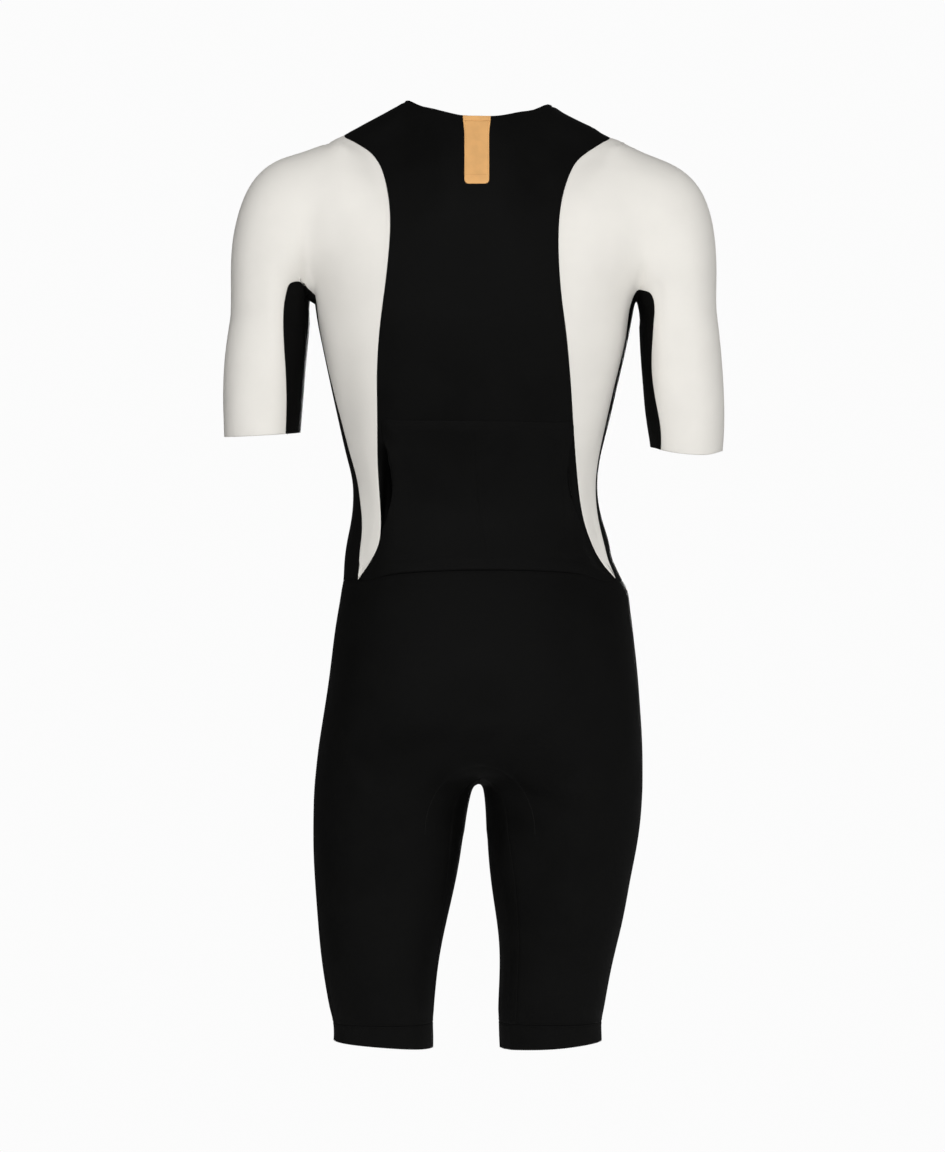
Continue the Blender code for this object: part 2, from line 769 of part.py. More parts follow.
def hard_piece(name, shape, placing, finish):
    """An object from a bmesh in zip axes: x across, y down the zip, z out."""
    shape.transform(Matrix.Scale(MM, 4))
    mesh = bpy.data.meshes.new(name)
    shape.to_mesh(mesh)
    shape.free()
    mesh.materials.append(material(finish))
    thing = bpy.data.objects.new(name, mesh)
    thing.matrix_world = placing
    bpy.data.collections["triathlon_suit"].objects.link(thing)
    return thing


def combine(thing, tools, operation, placing):
    """Joins shapes to an object, or cuts them from it, with Boolean modifiers."""
    for step, shape in enumerate(tools):
        tool = hard_piece(f"{thing.name}_tool_{step}", shape, placing, "zip_metal")
        boolean = thing.modifiers.new(f"{operation.lower()}_{step}", "BOOLEAN")
        boolean.operation = operation
        boolean.object = tool
        tool.hide_render = True
        tool.display_type = "WIRE"
        bpy.data.collections["triathlon_suit"].objects.unlink(tool)
        bpy.data.collections["cutters"].objects.link(tool)


def zip_frame(line):
    """The slider's place on the zip: a matrix with x across, y down the zip, z out."""
    top = line[0][0]
    for (upper, _, left, right), (lower, *_) in zip(line, line[1:]):
        if (top - lower).length > SLIDER_BELOW_NECK:
            break
    down = (lower - upper).normalized()
    place = upper + down * (SLIDER_BELOW_NECK - (top - upper).length)
    across = right - left
    across = (across - down * across.dot(down)).normalized()
    out = across.cross(down)
    place += out * (TAPE_LIFT + TAPE_WALL + SLIDER_LIFT)
    axes = Matrix((across, down, out)).transposed().to_4x4()
    return Matrix.Translation(place * MM) @ axes


def zip_slider_and_pull(line):
    placing = zip_frame(line)
    _, long, high = SLIDER
    pin = Vector((0, -long / 4, high + EAR[2] - PIN_RADIUS - PIN_COVER))
    body = box(SLIDER, (0, 0, high / 2))
    bmesh.ops.bevel(body, geom=body.edges[:], offset=SLIDER_ROUNDING, segments=2, affect="EDGES")
    slider = hard_piece("zip_slider", body, placing, "zip_metal")
    ear = Vector(EAR) + Vector((0, 0, EAR_SUNK))
    ear_out = high - EAR_SUNK + ear.z / 2
    ears = [box(ear, (side * EAR_SPAN / 2, pin.y, ear_out)) for side in (-1, 1)]
    bar = rod(PIN_RADIUS, EAR_SPAN + EAR[0] / 2, pin)
    combine(slider, ears + [bar], "UNION", placing)
    eye = rod(PIN_RADIUS + EYE_WALL, PULL[0], (0, 0, 0), 20)
    droop = Matrix.Rotation(math.radians(-PULL_DROOP), 4, "X")
    hinge = placing @ Matrix.Translation(pin * MM) @ droop
    pull = hard_piece("zip_pull", eye, hinge, "zip_metal")
    combine(pull, [pull_plate()], "UNION", hinge)
    hole = rod(PIN_RADIUS + PULL_CLEARANCE, 2 * PULL[0], (0, 0, 0), 20)
    combine(pull, [hole], "DIFFERENCE", hinge)


def main():
    clear_scene()
    for name in ("triathlon_suit", "cutters"):
        collection = bpy.data.collections.new(name)
        bpy.context.scene.collection.children.link(collection)
    surface = smooth_surface(build_cage())
    panel("back_centre", surface, ["back_centre", "pocket_place"], "black_knit")
    for name in ("shorts_back", "shorts_front"):
        panel(name, surface, [name], "black_knit")
    for word in SIDES.values():
        panel(f"front_{word}", surface, [f"front_{word}"], "black_knit")
        panel(f"sleeve_{word}", surface, [f"sleeve_{word}"], "white_knit")
        panel(f"side_{word}", surface, [f"side_{word}"], "black_knit")
        panel(f"inner_leg_{word}", surface, [f"inner_leg_{word}"], "black_knit")
        panel(f"hem_band_{word}", surface, [f"hem_band_{word}"], "black_knit")
    panel(
        "back_pocket",
        surface,
        ["pocket_place"],
        "black_knit",
        lift=POCKET_WALL + POCKET_LIFT,
        wall=POCKET_WALL,
        inset=pocket_inset,
    )
    neck_tab(surface)
    line = zip_line(surface)
    zip_tapes(line)
    zip_slider_and_pull(line)


main()
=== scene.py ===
"""Short-sleeved triathlon suit: sewn knit panels, back pocket, neck tab and front zip.

The frame's panels are joined into the suit's whole outer surface, which is smoothed,
creased along drawn lines and parted again along its seams. Lengths are in metres.
"""

import heapq
import json
import math

import bmesh
import bpy
import numpy as np
from mathutils import Matrix, Vector
from mathutils.bvhtree import BVHTree
from mathutils.kdtree import KDTree

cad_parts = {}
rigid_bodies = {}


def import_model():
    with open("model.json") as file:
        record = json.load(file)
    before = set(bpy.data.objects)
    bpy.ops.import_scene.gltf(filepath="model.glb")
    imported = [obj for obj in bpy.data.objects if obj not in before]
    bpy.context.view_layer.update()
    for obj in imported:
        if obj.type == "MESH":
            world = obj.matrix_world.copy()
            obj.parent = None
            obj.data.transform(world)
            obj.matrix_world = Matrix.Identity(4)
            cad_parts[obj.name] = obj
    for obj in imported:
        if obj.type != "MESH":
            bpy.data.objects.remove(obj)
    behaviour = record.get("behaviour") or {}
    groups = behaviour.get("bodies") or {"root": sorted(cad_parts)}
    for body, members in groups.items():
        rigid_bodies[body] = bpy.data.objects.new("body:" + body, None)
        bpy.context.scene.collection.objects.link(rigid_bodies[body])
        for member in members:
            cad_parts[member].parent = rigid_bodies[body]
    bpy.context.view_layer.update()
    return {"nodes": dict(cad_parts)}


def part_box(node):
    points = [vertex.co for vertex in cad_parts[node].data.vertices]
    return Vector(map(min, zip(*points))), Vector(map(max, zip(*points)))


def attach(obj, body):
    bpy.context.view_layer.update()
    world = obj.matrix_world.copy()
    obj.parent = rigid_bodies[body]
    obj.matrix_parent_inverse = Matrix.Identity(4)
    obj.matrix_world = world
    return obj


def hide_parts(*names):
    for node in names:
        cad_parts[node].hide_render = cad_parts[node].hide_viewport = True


for thing in list(bpy.data.objects):
    bpy.data.objects.remove(thing, do_unlink=True)
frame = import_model()

bl_info = {
    "name": "Triathlon Suit",
    "version": (1, 0, 0),
    "blender": (4, 5, 0),
    "location": "View3D > Sidebar > Suit",
    "description": "Builds a suit's panels, pocket, tab, zip, stitching and stage",
    "category": "Add Mesh",
}

MM = 0.001
PANEL_WALL = 1.6 * MM  # of the frame's nodes
POCKET_WALL = 1.2 * MM
WALL_TOLERANCE = 0.03 * MM
SEAM_REACH = 1.5 * MM  # two panels' edges this near are sewn together
TIP_REACH = 4.6 * MM  # and the mitred tips of panels this near
SEAM_FADE = 4 * MM  # how far into the cloth a seam puckers it
WELD = 0.001 * MM
CLEAR = 0.05 * MM  # how far above a face the look for what covers it starts
DIAGONAL = 1.0005  # a face is cut along its shorter diagonal, or one up to this longer
OPEN = -1  # stands for the panel beyond an open edge

# Each maker's piece: the finish that it takes, and the cloth that it is cut from, as
# the width and length of the cut and its area.
PANELS = {
    "back_centre": ("black_knit", (0.31, 0.54), 0.108),
    "front_left": ("black_knit", (0.16, 0.54), 0.051),
    "front_right": ("black_knit", (0.165, 0.53), 0.051),
    "sleeve_left": ("white_knit", (0.84, 0.346), 0.133),
    "sleeve_right": ("white_knit", (0.81, 0.36), 0.135),
    "side_left": ("black_knit", (0.153, 0.454), 0.032),
    "side_right": ("black_knit", (0.175, 0.458), 0.033),
    "shorts_back": ("black_knit", (0.52, 0.51), 0.195),
    "shorts_front": ("black_knit", (0.49, 0.50), 0.187),
    "inner_leg_left": ("black_knit", (0.14, 0.272), 0.026),
    "inner_leg_right": ("black_knit", (0.14, 0.273), 0.026),
    "hem_band_left": ("black_knit", (0.352, 0.026), 0.0082),
    "hem_band_right": ("black_knit", (0.352, 0.026), 0.0082),
}
POCKET_CUT = ((0.24, 0.17), 0.035)
TAB_CUT = ((0.0295, 0.083), 0.0022)
TAPE_CUT = ((0.010, 0.47), 0.0032)
FITTING_ROUNDS = 2  # how often a cage is moved so that the smooth one keeps its places
SMOOTHING = 2  # levels of subdivision of the suit's surface
POCKET_SMOOTHING = 3

# How the cloth is eased from the frame's form, each as (centre, reach, move) in
# millimetres: the move fades away from its centre over its reach.
EASE = [
    ((-121, -5, -18), (19, 60, 22), (0, 0, -4.2)),  # shoulder ridges beside the neck
    ((-99, -5, -9), (18, 60, 22), (0, 0, -3.2)),
    ((112, -5, -15), (27, 60, 22), (0, 0, -4.2)),
    ((-140, -5, -37), (11, 50, 18), (0, 0, 4.6)),
    ((136, -5, -39), (18, 50, 18), (0, 0, 5)),
    ((127, -5, -35), (12, 50, 18), (0, 0, 3.4)),
    ((140, -5, -41), (9, 50, 16), (0, 0, 1.6)),
    ((172, -5, -57), (22, 50, 20), (0, 0, -1.3)),
    ((-130, -5, -32), (13, 50, 20), (0, 0, 3.6)),
    ((-106, -5, -20), (12, 50, 18), (0, 0, 1.4)),
    ((-155, -5, -46), (9, 40, 14), (0, 0, -1.6)),
    ((-76, -12, 0), (5, 30, 12), (0, 0, 1.2)),
    ((-70, -18, 2), (14, 30, 15), (0, 0, -3)),
    ((-60, -34, -6), (12, 30, 15), (0, 0, -3.6)),
    ((-28, -50, -14), (14, 30, 12), (0, 0, 1.6)),
    ((74, -14, 0), (14, 30, 15), (0, 0, -2.5)),
    ((58, -34, -5), (16, 30, 15), (0, 0, -5)),
    ((0, -60, -22), (42, 25, 14), (0, 0, 3)),  # back of the neck
    ((-245, 0, -108), (34, 80, 40), (3.5, 0, -0.8)),  # sleeve heads
    ((-184, 0, -52), (26, 80, 30), (0, 0, -3.2)),
    ((222, 0, -78), (35, 80, 35), (1.8, 0, 2)),
    ((-262, 0, -222), (30, 60, 32), (2, 0, 0)),  # outer sides of the sleeves
    ((253, 0, -212), (30, 60, 25), (-1.2, 0, 0)),
    ((258, 0, -370), (22, 60, 16), (-0.6, 0, 2.6)),  # cuffs
    ((-222, -60, -362), (80, 60, 24), (0, 0, -4)),
    ((218, -60, -368), (70, 60, 24), (0, 0, -4)),
    ((258, -16, -372), (14, 60, 16), (0, 0, 3)),
    ((178, -16, -368), (12, 60, 16), (1.4, 0, 1.2)),
    ((176, 0, -358), (14, 60, 26), (2.4, 0, 0)),
    ((-178, 0, -270), (14, 60, 80), (1.4, 0, 0)),  # inner side of the left sleeve
    ((-179, 0, -224), (8, 60, 22), (1.3, 0, 0)),
    ((-168, 0, -226), (8, 60, 20), (-0.7, 0, 0)),
    ((-220, 40, -355), (50, 35, 45), (0, 0, 4.5)),  # fronts of the cuffs
    ((220, 40, -360), (50, 35, 45), (0, 0, 4.5)),
    ((-138, 0, -398), (20, 120, 22), (1.8, 0, 0)),  # waist and hips
    ((-143, 0, -480), (25, 120, 34), (-2.6, 0, 0)),
    ((146, 0, -478), (16, 120, 14), (-2.6, 0, 0)),
    ((140, 0, -398), (20, 120, 26), (-1, 0, 0)),
    ((157, 0, -512), (18, 120, 16), (3, 0, 0)),
    ((-160, 0, -600), (30, 120, 90), (1, 0, 0)),
    ((165, 0, -560), (25, 120, 35), (-2.2, 0, 0)),
    ((-175, 0, -765), (25, 120, 45), (1.3, 0, 0)),  # legs
    ((172, 0, -745), (25, 120, 70), (1.4, 0, 0)),
    ((145, 0, -900), (20, 80, 50), (-1.2, 0, 0)),
    ((-22, 0, -815), (16, 80, 60), (1.8, 0, 0)),
    ((20, 0, -890), (16, 80, 45), (2.6, 0, 0)),
    ((2, 0, -722), (14, 80, 12), (0, 0, 2.5)),  # crotch
    ((85, 0, -990), (45, 80, 14), (0, 0, -2.4)),  # hems
    ((-95, 0, -985), (45, 80, 14), (0, 0, 1.2)),
    ((136, 0, -985), (16, 80, 22), (2.2, 0, 0)),
    ((26, 0, -960), (14, 80, 30), (-1.3, 0, 0)),
    ((-42, 0, -960), (14, 80, 30), (-1.6, 0, 0)),
    ((-142, -60, -345), (22, 60, 110), (0, 13, 0)),  # hollows of the flanks
    ((-128, -70, -465), (18, 60, 55), (0, 9, 0)),
    ((130, -70, -455), (17, 60, 60), (0, 14, 0)),
    ((-62, -120, -655), (55, 60, 45), (0, -6, 0)),  # seat
    ((64, -120, -655), (55, 60, 45), (0, -6, 0)),
    ((0, -60, -748), (75, 80, 30), (0, 18, 0)),  # between the legs
]
# Where the cloth is smoothed: armpits and shoulder tips, as centre, reach and rounds.
EVENED = [
    ((-176, -20, -196), 40, 8),
    ((-176, 30, -196), 40, 8),
    ((170, -20, -202), 40, 8),
    ((170, 30, -202), 40, 8),
    ((-138, -12, -42), 26, 24),
    ((134, -12, -43), 26, 24),
]
# And where it is smoothed again once it is eased: the shoulder ridges.
RIDGES = [
    ((-116, -10, -24), 34, 10),
    ((114, -10, -27), 36, 12),
    ((140, -8, -42), 22, 8),
    ((-118, -50, -480), 9, 5),  # the left flank's tip
]
SEAM_ROUNDS = 14  # how often the seams are straightened
SEAM_PULL = 12 * MM  # how far into the cloth a seam takes it along
# Where the slid seams are straightened again, as (x, z), reach and rounds.
ARMPITS = [((-174, -200), 22, 44), ((168, -202), 18, 10)]
# How seams are slid along the cloth, which keeps its form, each as (x, z), reach, move.
SLIDES = [
    ((0, -270), (200, 75), (-3.6, 0, 0)),  # the two panels beside the back panel
    ((-105, -360), (40, 60), (-1.8, 0, 0)),
    ((-98, -190), (25, 60), (1.2, 0, 0)),
    ((-105, -290), (20, 40), (-1, 0, 0)),
    ((90, -190), (25, 80), (-1.5, 0, 0)),
    ((100, -360), (40, 60), (-1.2, 0, 0)),
    ((-93, -130), (30, 40), (1.2, 0, 0)),
    ((-108, -62), (25, 25), (2.4, 0, 1)),
    ((85, -90), (35, 45), (1.8, 0, 0)),
    ((100, -58), (20, 20), (-2, 0, 1)),
    ((125, -48), (30, 18), (1, 0, -3.5)),
    ((-128, -42), (22, 14), (-0.5, 0, -2)),
    ((-124, -42), (13, 10), (-1, 0, -2.8)),
    ((-133, -36), (12, 10), (-5, 0, 1)),
    ((124, -45), (14, 10), (0, 0, -7.5)),
    ((138, -40), (9, 9), (8, 0, -3)),
    ((-128, -440), (25, 60), (4.5, 0, 0)),
    ((-108, -470), (12, 25), (4, 0, -1)),
    ((-126, -465), (14, 40), (3, -3, 0)),
    ((-102, -400), (14, 40), (-1.2, 0, 0)),
    ((-137, -36), (12, 10), (-6, 0, -1)),
    ((131, -38), (9, 9), (11, 0, -3)),
    ((184, -215), (12, 15), (2, -6, 1)),
    ((136, -420), (16, 60), (-3, 0, 0)),
    ((133, -464), (16, 40), (-3.5, 0, 0)),
    ((112, -460), (14, 35), (2.5, 0, -0.5)),
    ((-125, -483), (7, 13), (2.6, 0, 0)),  # the tips of the flanks
    ((-124, -500), (6, 5), (-2.6, 0, -2.2)),
    ((-112, -470), (9, 20), (-1.1, 0, 0)),
    ((129, -489), (7, 12), (2.4, 0, 0)),
    ((142, -500), (8, 9), (2.2, 0, 0)),
    ((-150, -300), (40, 90), (0, 8, 0)),  # side seams
    ((150, -260), (30, 70), (0, -8, 0)),
    ((-176, -190), (9, 12), (-2, 0, -10)),  # armpits
    ((-184, -192), (8, 6), (3, 0, 3)),
    ((-172, -206), (8, 12), (-1.5, 6, 0)),
    ((-200, -192), (7, 8), (-3, 0, 3)),
    ((171, -197), (7, 8), (-1, 0, -3)),
    ((180, -202), (11, 11), (5, -4, 7)),
    ((163, -203), (7, 10), (1.5, 6, -1)),
    ((184, -275), (20, 35), (-1, 6, 0)),  # inner sleeves
    ((188, -345), (20, 30), (2, -6, 0)),
    ((34, -745), (20, 40), (-9, 0, 0)),  # inner legs
    ((-42, -800), (20, 60), (-5, 0, 0)),
    ((-203, -330), (15, 40), (1.2, 0, 0)),
]
# The slides fade out as the cloth's normal turns to the front.
SLIDE_END, SLIDE_FADE = 0.4, 0.5
# Soft folds: side (-1 back, 1 front), points as (x, z), half width, depth (a ridge is
# negative), in millimetres.
FOLDS = [
    (-1, [(-170, -112), (-176, -150), (-183, -188)], 11, 2.6),  # above the left armpit
    (-1, [(-158, -150), (-166, -190), (-150, -235)], 14, 1.6),
    (-1, [(188, -134), (178, -160), (170, -188)], 15, 2.0),  # above the right armpit
    (-1, [(160, -170), (152, -200), (146, -226)], 12, 1.5),
    (-1, [(-125, -32), (-96, -22), (-72, -20)], 12, -1.2),  # shoulders
    (-1, [(152, -62), (184, -70), (205, -84)], 13, 1.2),
    (-1, [(-236, -215), (-250, -228), (-262, -236)], 12, 1.4),  # sleeves
    (-1, [(-212, -300), (-238, -322), (-258, -330)], 15, 1.0),
    (-1, [(206, -210), (232, -222), (252, -226)], 13, 1.1),
    (-1, [(206, -318), (226, -306), (250, -310)], 14, 0.9),
    (-1, [(-92, -478), (-70, -482), (-50, -481)], 5, 1.4),  # just above the waist seam
    (-1, [(76, -480), (98, -482), (120, -480)], 5, 1.6),
    (-1, [(-154, -40), (-136, -52), (-110, -70)], 9, -3.1),
    (-1, [(150, -42), (132, -50), (112, -62)], 8, -2.8),
    (-1, [(-140, -640), (-124, -690), (-96, -722), (-50, -728), (-24, -714)], 11, 2),
    (-1, [(-50, -724), (0, -707), (42, -722), (96, -739)], 11, 5),  # under the seat
    (-1, [(116, -560), (112, -610), (118, -660)], 13, 1.2),  # hips
    (-1, [(150, -690), (158, -720), (150, -748)], 14, 1.3),
    (-1, [(-152, -640), (-146, -680), (-156, -716)], 15, 1.2),
    (-1, [(-60, -860), (-70, -900), (-64, -945)], 16, 0.9),  # legs
    (-1, [(70, -870), (84, -905), (78, -950)], 17, 0.9),
    (1, [(-172, -110), (-180, -150), (-184, -186)], 12, 2.4),  # front of the armpits
    (1, [(182, -112), (176, -156), (168, -194)], 12, 2.6),
    (1, [(-150, -160), (-138, -196), (-132, -236)], 14, 1.5),
    (1, [(158, -158), (146, -200), (140, -232)], 13, 1.7),
    (1, [(-60, -430), (-24, -440), (16, -436)], 11, 1.3),  # belly
    (1, [(20, -462), (64, -470), (104, -462)], 12, 1.5),
    (1, [(-116, -486), (-84, -500), (-46, -498)], 12, 1.2),
    (1, [(-70, -700), (-44, -716), (-16, -720)], 10, 2.0),  # groin
    (1, [(16, -718), (48, -712), (80, -694)], 10, 2.2),
    (1, [(-84, -880), (-64, -912), (-72, -950)], 16, 1.0),
    (1, [(66, -866), (86, -900), (76, -942)], 16, 1.1),
    (1, [(-230, -208), (-246, -222), (-258, -230)], 13, 1.2),
    (1, [(210, -214), (234, -226), (250, -232)], 13, 1.3),
]
# How much a normal turns while a fold of one side fades out, and how full a fold stays
# towards its ends.
TURN = 0.3
FOLD_TAPER = 0.8
# How deep the back panel sinks behind the pocket's hand openings, where its knit is
# also
# darkened as painted shade: points, half width and depth.
HOLLOWS = [
    (
        [(-98, -358), (-94, -378), (-92, -396), (-92, -416), (-95, -438), (-103, -474)],
        7,
        13,
    ),
    ([(101, -358), (97, -380), (95, -410), (98, -430), (104, -450)], 4, 3),
]
DEEPEST_HOLLOW = 13
HOLLOW_TAPER = 0.6
HOLLOW_RIM = 3 * MM  # the hollows start this far inside the panel's edge
# The seat pad inside the shorts shows through as a low form with a stitched outline:
# side, middle (x, z) of its straight lower edge, half width, height, and relief.
PADS = [
    (-1, (2, -764), 57, 71, 0.8),
    (1, (0, -762), 44, 92, 0.6),
]
PAD_SIDE, PAD_FOOT = 7, 12  # how wide its slopes are at the sides and below
# The parts of the cuffs and hems with a printed grip: panel and box, low to high.
GRIPS = {
    "sleeve_left": ((-300, -14, -400), (-150, 90, -311)),
    "sleeve_right": ((150, -14, -400), (300, 90, -318)),
    "hem_band_left": ((-140, -60, -1000), (-112, 90, -955)),
    "hem_band_right": ((116, -60, -1000), (140, 90, -955)),
}
GRIP_FADE = 5 * MM
# How a panel's edge rolls down: the share of the depth that its edge and the next ring
# of faces take.
ROLL = (1, 0.22)


# Settings that a user would change


def length_setting(name, description, millimetres):
    return bpy.props.FloatProperty(
        name=name, description=description, default=millimetres * MM, unit="LENGTH"
    )


def colour_setting(name, description, default):
    return bpy.props.FloatVectorProperty(
        name=name, description=description, default=default, subtype="COLOR", size=3
    )


class SuitSizes(bpy.types.PropertyGroup):
    cloth: length_setting("Cloth", "Thickness of the knit", 0.9)
    seam_width: length_setting(
        "Seam roll", "Width over which a panel's edge rolls down into its seam", 1.5
    )
    seam_depth: length_setting("Seam depth", "How far a seam lies below the cloth", 0.5)
    pocket_height: length_setting(
        "Pocket height", "How far the pocket's outer side stands off the back", 1.7
    )
    pocket_gape: length_setting(
        "Pocket gape", "How much further it stands off at its two hand openings", 4.2
    )
    entry_pull: length_setting(
        "Opening pull", "How far the pocket's sides are pulled in at its openings", 6
    )
    tab_width: length_setting("Tab width", "Width of the neck tab", 25.6)
    tab_corner: length_setting("Tab corner", "Radius of the tab's lower corners", 4.5)
    tab_height: length_setting(
        "Tab height", "How far the neck tab's face stands off the back", 1.4
    )
    tab_thickness: length_setting("Tab thickness", "Thickness of the tab's weave", 0.8)
    zip_gap: length_setting("Zip gap", "Between the zip's tapes", 1.2)
    tape_width: length_setting(
        "Tape width", "From the zip's middle to the outer edge of a tape", 7
    )
    tape_height: length_setting(
        "Tape height", "How far a tape's face stands off the front", 1.2
    )
    tape_thickness: length_setting("Tape thickness", "Thickness of a tape", 0.7)
    tooth_pitch: length_setting(
        "Tooth pitch", "From one tooth of the zip to the next on its tape", 1.5
    )
    stitch: length_setting("Stitch", "Length of a stitch", 2)
    stitch_pitch: length_setting(
        "Stitch pitch", "From one stitch to the next in a row", 2.6
    )
    thread: length_setting("Thread", "Width of the thread", 0.38)


class SuitColours(bpy.types.PropertyGroup):
    black: colour_setting(
        "Black knit", "Colour of body, shorts and side panels", (0.0036, 0.0036, 0.0035)
    )
    white: colour_setting(
        "White knit", "Colour of the sleeves and flank panels", (0.85, 0.825, 0.775)
    )
    tan: colour_setting("Neck tab", "Colour of the woven tab", (0.72, 0.395, 0.15))
    thread: colour_setting(
        "Thread", "Colour of the black stitching", (0.0034, 0.0034, 0.0034)
    )
    pad_thread: colour_setting(
        "Pad thread", "Colour of the seat pad's stitching", (0.018, 0.018, 0.017)
    )
    metal: colour_setting(
        "Zip metal", "Colour of the slider and its pull", (0.05, 0.05, 0.052)
    )


# Shapes

work = {}  # what one operator leaves for the next


def shape_of(mesh):
    """The mesh's faces in a bmesh, to be worked on."""
    shape = bmesh.new()
    shape.from_mesh(mesh)
    return shape


def written(shape, mesh):
    """Writes a shape into a mesh, or into a new one of this name."""
    if isinstance(mesh, str):
        mesh = bpy.data.meshes.new(mesh)
    shape.to_mesh(mesh)
    shape.free()
    return mesh


def frame_shape(name):
    """A node of the frame, with each of its corners welded to one point."""
    shape = shape_of(frame["nodes"][name].data)
    bmesh.ops.remove_doubles(shape, verts=shape.verts, dist=WELD)
    shape.normal_update()
    return shape


def keep_faces(shape, kept):
    rest = [face for face in shape.faces if face not in kept]
    bmesh.ops.delete(shape, geom=rest, context="FACES")


def linked(name, data):
    thing = bpy.data.objects.new(name, data)
    bpy.context.scene.collection.objects.link(thing)
    return thing


def coordinates(mesh):
    flat = np.empty(len(mesh.vertices) * 3)
    mesh.vertices.foreach_get("co", flat)
    return flat.reshape(-1, 3)


def evaluated(thing):
    bpy.context.view_layer.update()
    graph = bpy.context.evaluated_depsgraph_get()
    return bpy.data.meshes.new_from_object(thing.evaluated_get(graph), depsgraph=graph)


def tree_of(places):
    """A tree that finds the nearest of these places."""
    tree = KDTree(len(places))
    for i, place in enumerate(places):
        tree.insert(place, i)
    tree.balance()
    return tree


def edge_tree(shape):
    return tree_of([v.co for v in shape.verts if v.is_boundary])


def smooth_step(share):
    share = np.clip(share, 0, 1)
    return share * share * (3 - 2 * share)


def fading(distance, reach):
    """1 at a place, which fades away over this reach from it."""
    return math.exp(-((distance / reach) ** 2))


def resampled(line, step):
    """Points along a line, evenly and about this far apart, with their directions."""
    points = np.array(line)
    steps = np.linalg.norm(np.diff(points, axis=0), axis=1)
    ends = np.concatenate([[0], np.cumsum(steps)])
    count = max(2, round(ends[-1] / step) + 1)
    places = np.linspace(0, ends[-1], count)
    even = np.stack([np.interp(places, ends, column) for column in points.T], axis=1)
    ways = np.gradient(even, axis=0)
    ways /= np.linalg.norm(ways, axis=1)[:, None]
    return [(Vector(point), Vector(way)) for point, way in zip(even, ways)]


def traced(points, step, depth=0):
    """The same for points given as (x, z) in millimetres, all at this depth."""
    return resampled([(x * MM, depth, z * MM) for x, z in points], step)


# The whole surface


def separate_sheets(shape, wall):
    """The two sides of a walled panel, without its rim, as lists of faces."""
    rim = {
        face
        for edge in shape.edges
        if abs(edge.calc_length() - wall) < WALL_TOLERANCE
        for face in edge.link_faces
    }
    left = [face for face in shape.faces if face not in rim]
    waiting, sheets = set(left), []
    for seed in left:
        if seed not in waiting:
            continue
        waiting.discard(seed)
        sheet = [seed]
        for face in sheet:
            for edge in face.edges:
                for other in edge.link_faces:
                    if other in waiting:
                        waiting.discard(other)
                        sheet.append(other)
        sheets.append(sheet)
    sheets.sort(key=lambda sheet: -sum(face.calc_area() for face in sheet))
    return sheets[:2]


def openness(sheet, tree):
    """The share of a sheet that nothing else of the suit lies in front of."""
    clear = total = 0
    for face in sheet:
        start = face.calc_center_median() + face.normal * CLEAR
        area = face.calc_area()
        total += area
        clear += area if tree.ray_cast(start, face.normal)[0] is None else 0
    return clear / total


def outer_sheets():
    """The outer sides of all panels in one bmesh; a face's material is its panel."""
    points, faces = [], []
    for name in PANELS:
        mesh = frame["nodes"][name].data
        start = len(points)
        points += [v.co.copy() for v in mesh.vertices]
        faces += [[start + i for i in face.vertices] for face in mesh.polygons]
    tree = BVHTree.FromPolygons(points, faces)
    whole = bmesh.new()
    for index, name in enumerate(PANELS):
        shape = frame_shape(name)
        sheets = separate_sheets(shape, PANEL_WALL)
        keep_faces(shape, set(max(sheets, key=lambda sheet: openness(sheet, tree))))
        mesh = written(shape, "panel_side")
        start = len(whole.faces)
        whole.from_mesh(mesh)
        bpy.data.meshes.remove(mesh)
        whole.faces.ensure_lookup_table()
        for face in whole.faces[start:]:
            face.material_index = index
    return whole


def sew(whole):
    """Welds the panels' edges along the seams."""
    edge = [v for v in whole.verts if v.is_boundary]
    owner = [v.link_faces[0].material_index for v in edge]
    near = tree_of([v.co for v in edge])
    group = list(range(len(edge)))

    def head(i):
        while group[i] != i:
            i = group[i]
        return i

    for i, v in enumerate(edge):
        for _, other, _ in near.find_range(v.co, SEAM_REACH):
            if owner[other] != owner[i]:
                group[head(i)] = head(other)
    counts = {}
    for i in range(len(edge)):
        counts[head(i)] = counts.get(head(i), 0) + 1
    for i in [i for i in range(len(edge)) if counts[head(i)] == 1]:
        others = [
            (distance, other)
            for _, other, distance in near.find_range(edge[i].co, TIP_REACH)
            if owner[other] != owner[i]
        ]
        if others:
            group[head(i)] = head(min(others)[1])
    sets = {}
    for i, v in enumerate(edge):
        sets.setdefault(head(i), []).append(v)
    merged = {}
    for points in sets.values():
        points[0].co = sum((v.co for v in points), Vector()) / len(points)
        merged.update({v: points[0] for v in points[1:]})
    bmesh.ops.weld_verts(whole, targetmap=merged)


def part_band(whole, panel):
    """Marks where the strip of a hem band begins and ends, on the inside of its leg."""
    band = {face for face in whole.faces if face.material_index == panel}
    edge = {v for face in band for v in face.verts if v.is_boundary}
    here = min(edge, key=lambda v: abs(v.co.x))
    while band.issuperset(here.link_faces):
        upward = max(
            here.link_edges,
            key=lambda e: (e.other_vert(here).co.z - here.co.z) / e.calc_length(),
        )
        upward.seam = True
        here = upward.other_vert(here)


def squareness(edge):
    """How far the four-sided face that two triangles make is from square, or None."""
    first, second = edge.link_faces
    a, b = edge.verts
    c = next(v for v in first.verts if v not in edge.verts)
    d = next(v for v in second.verts if v not in edge.verts)
    if edge.calc_length() > (c.co - d.co).length * DIAGONAL:
        return None
    ring = [c.co, a.co, d.co, b.co]
    total = first.normal.angle(second.normal, 0)
    for i in range(4):
        before, after = ring[i - 1] - ring[i], ring[(i + 1) % 4] - ring[i]
        total += abs(before.angle(after, 0) - math.pi / 2)
    return total


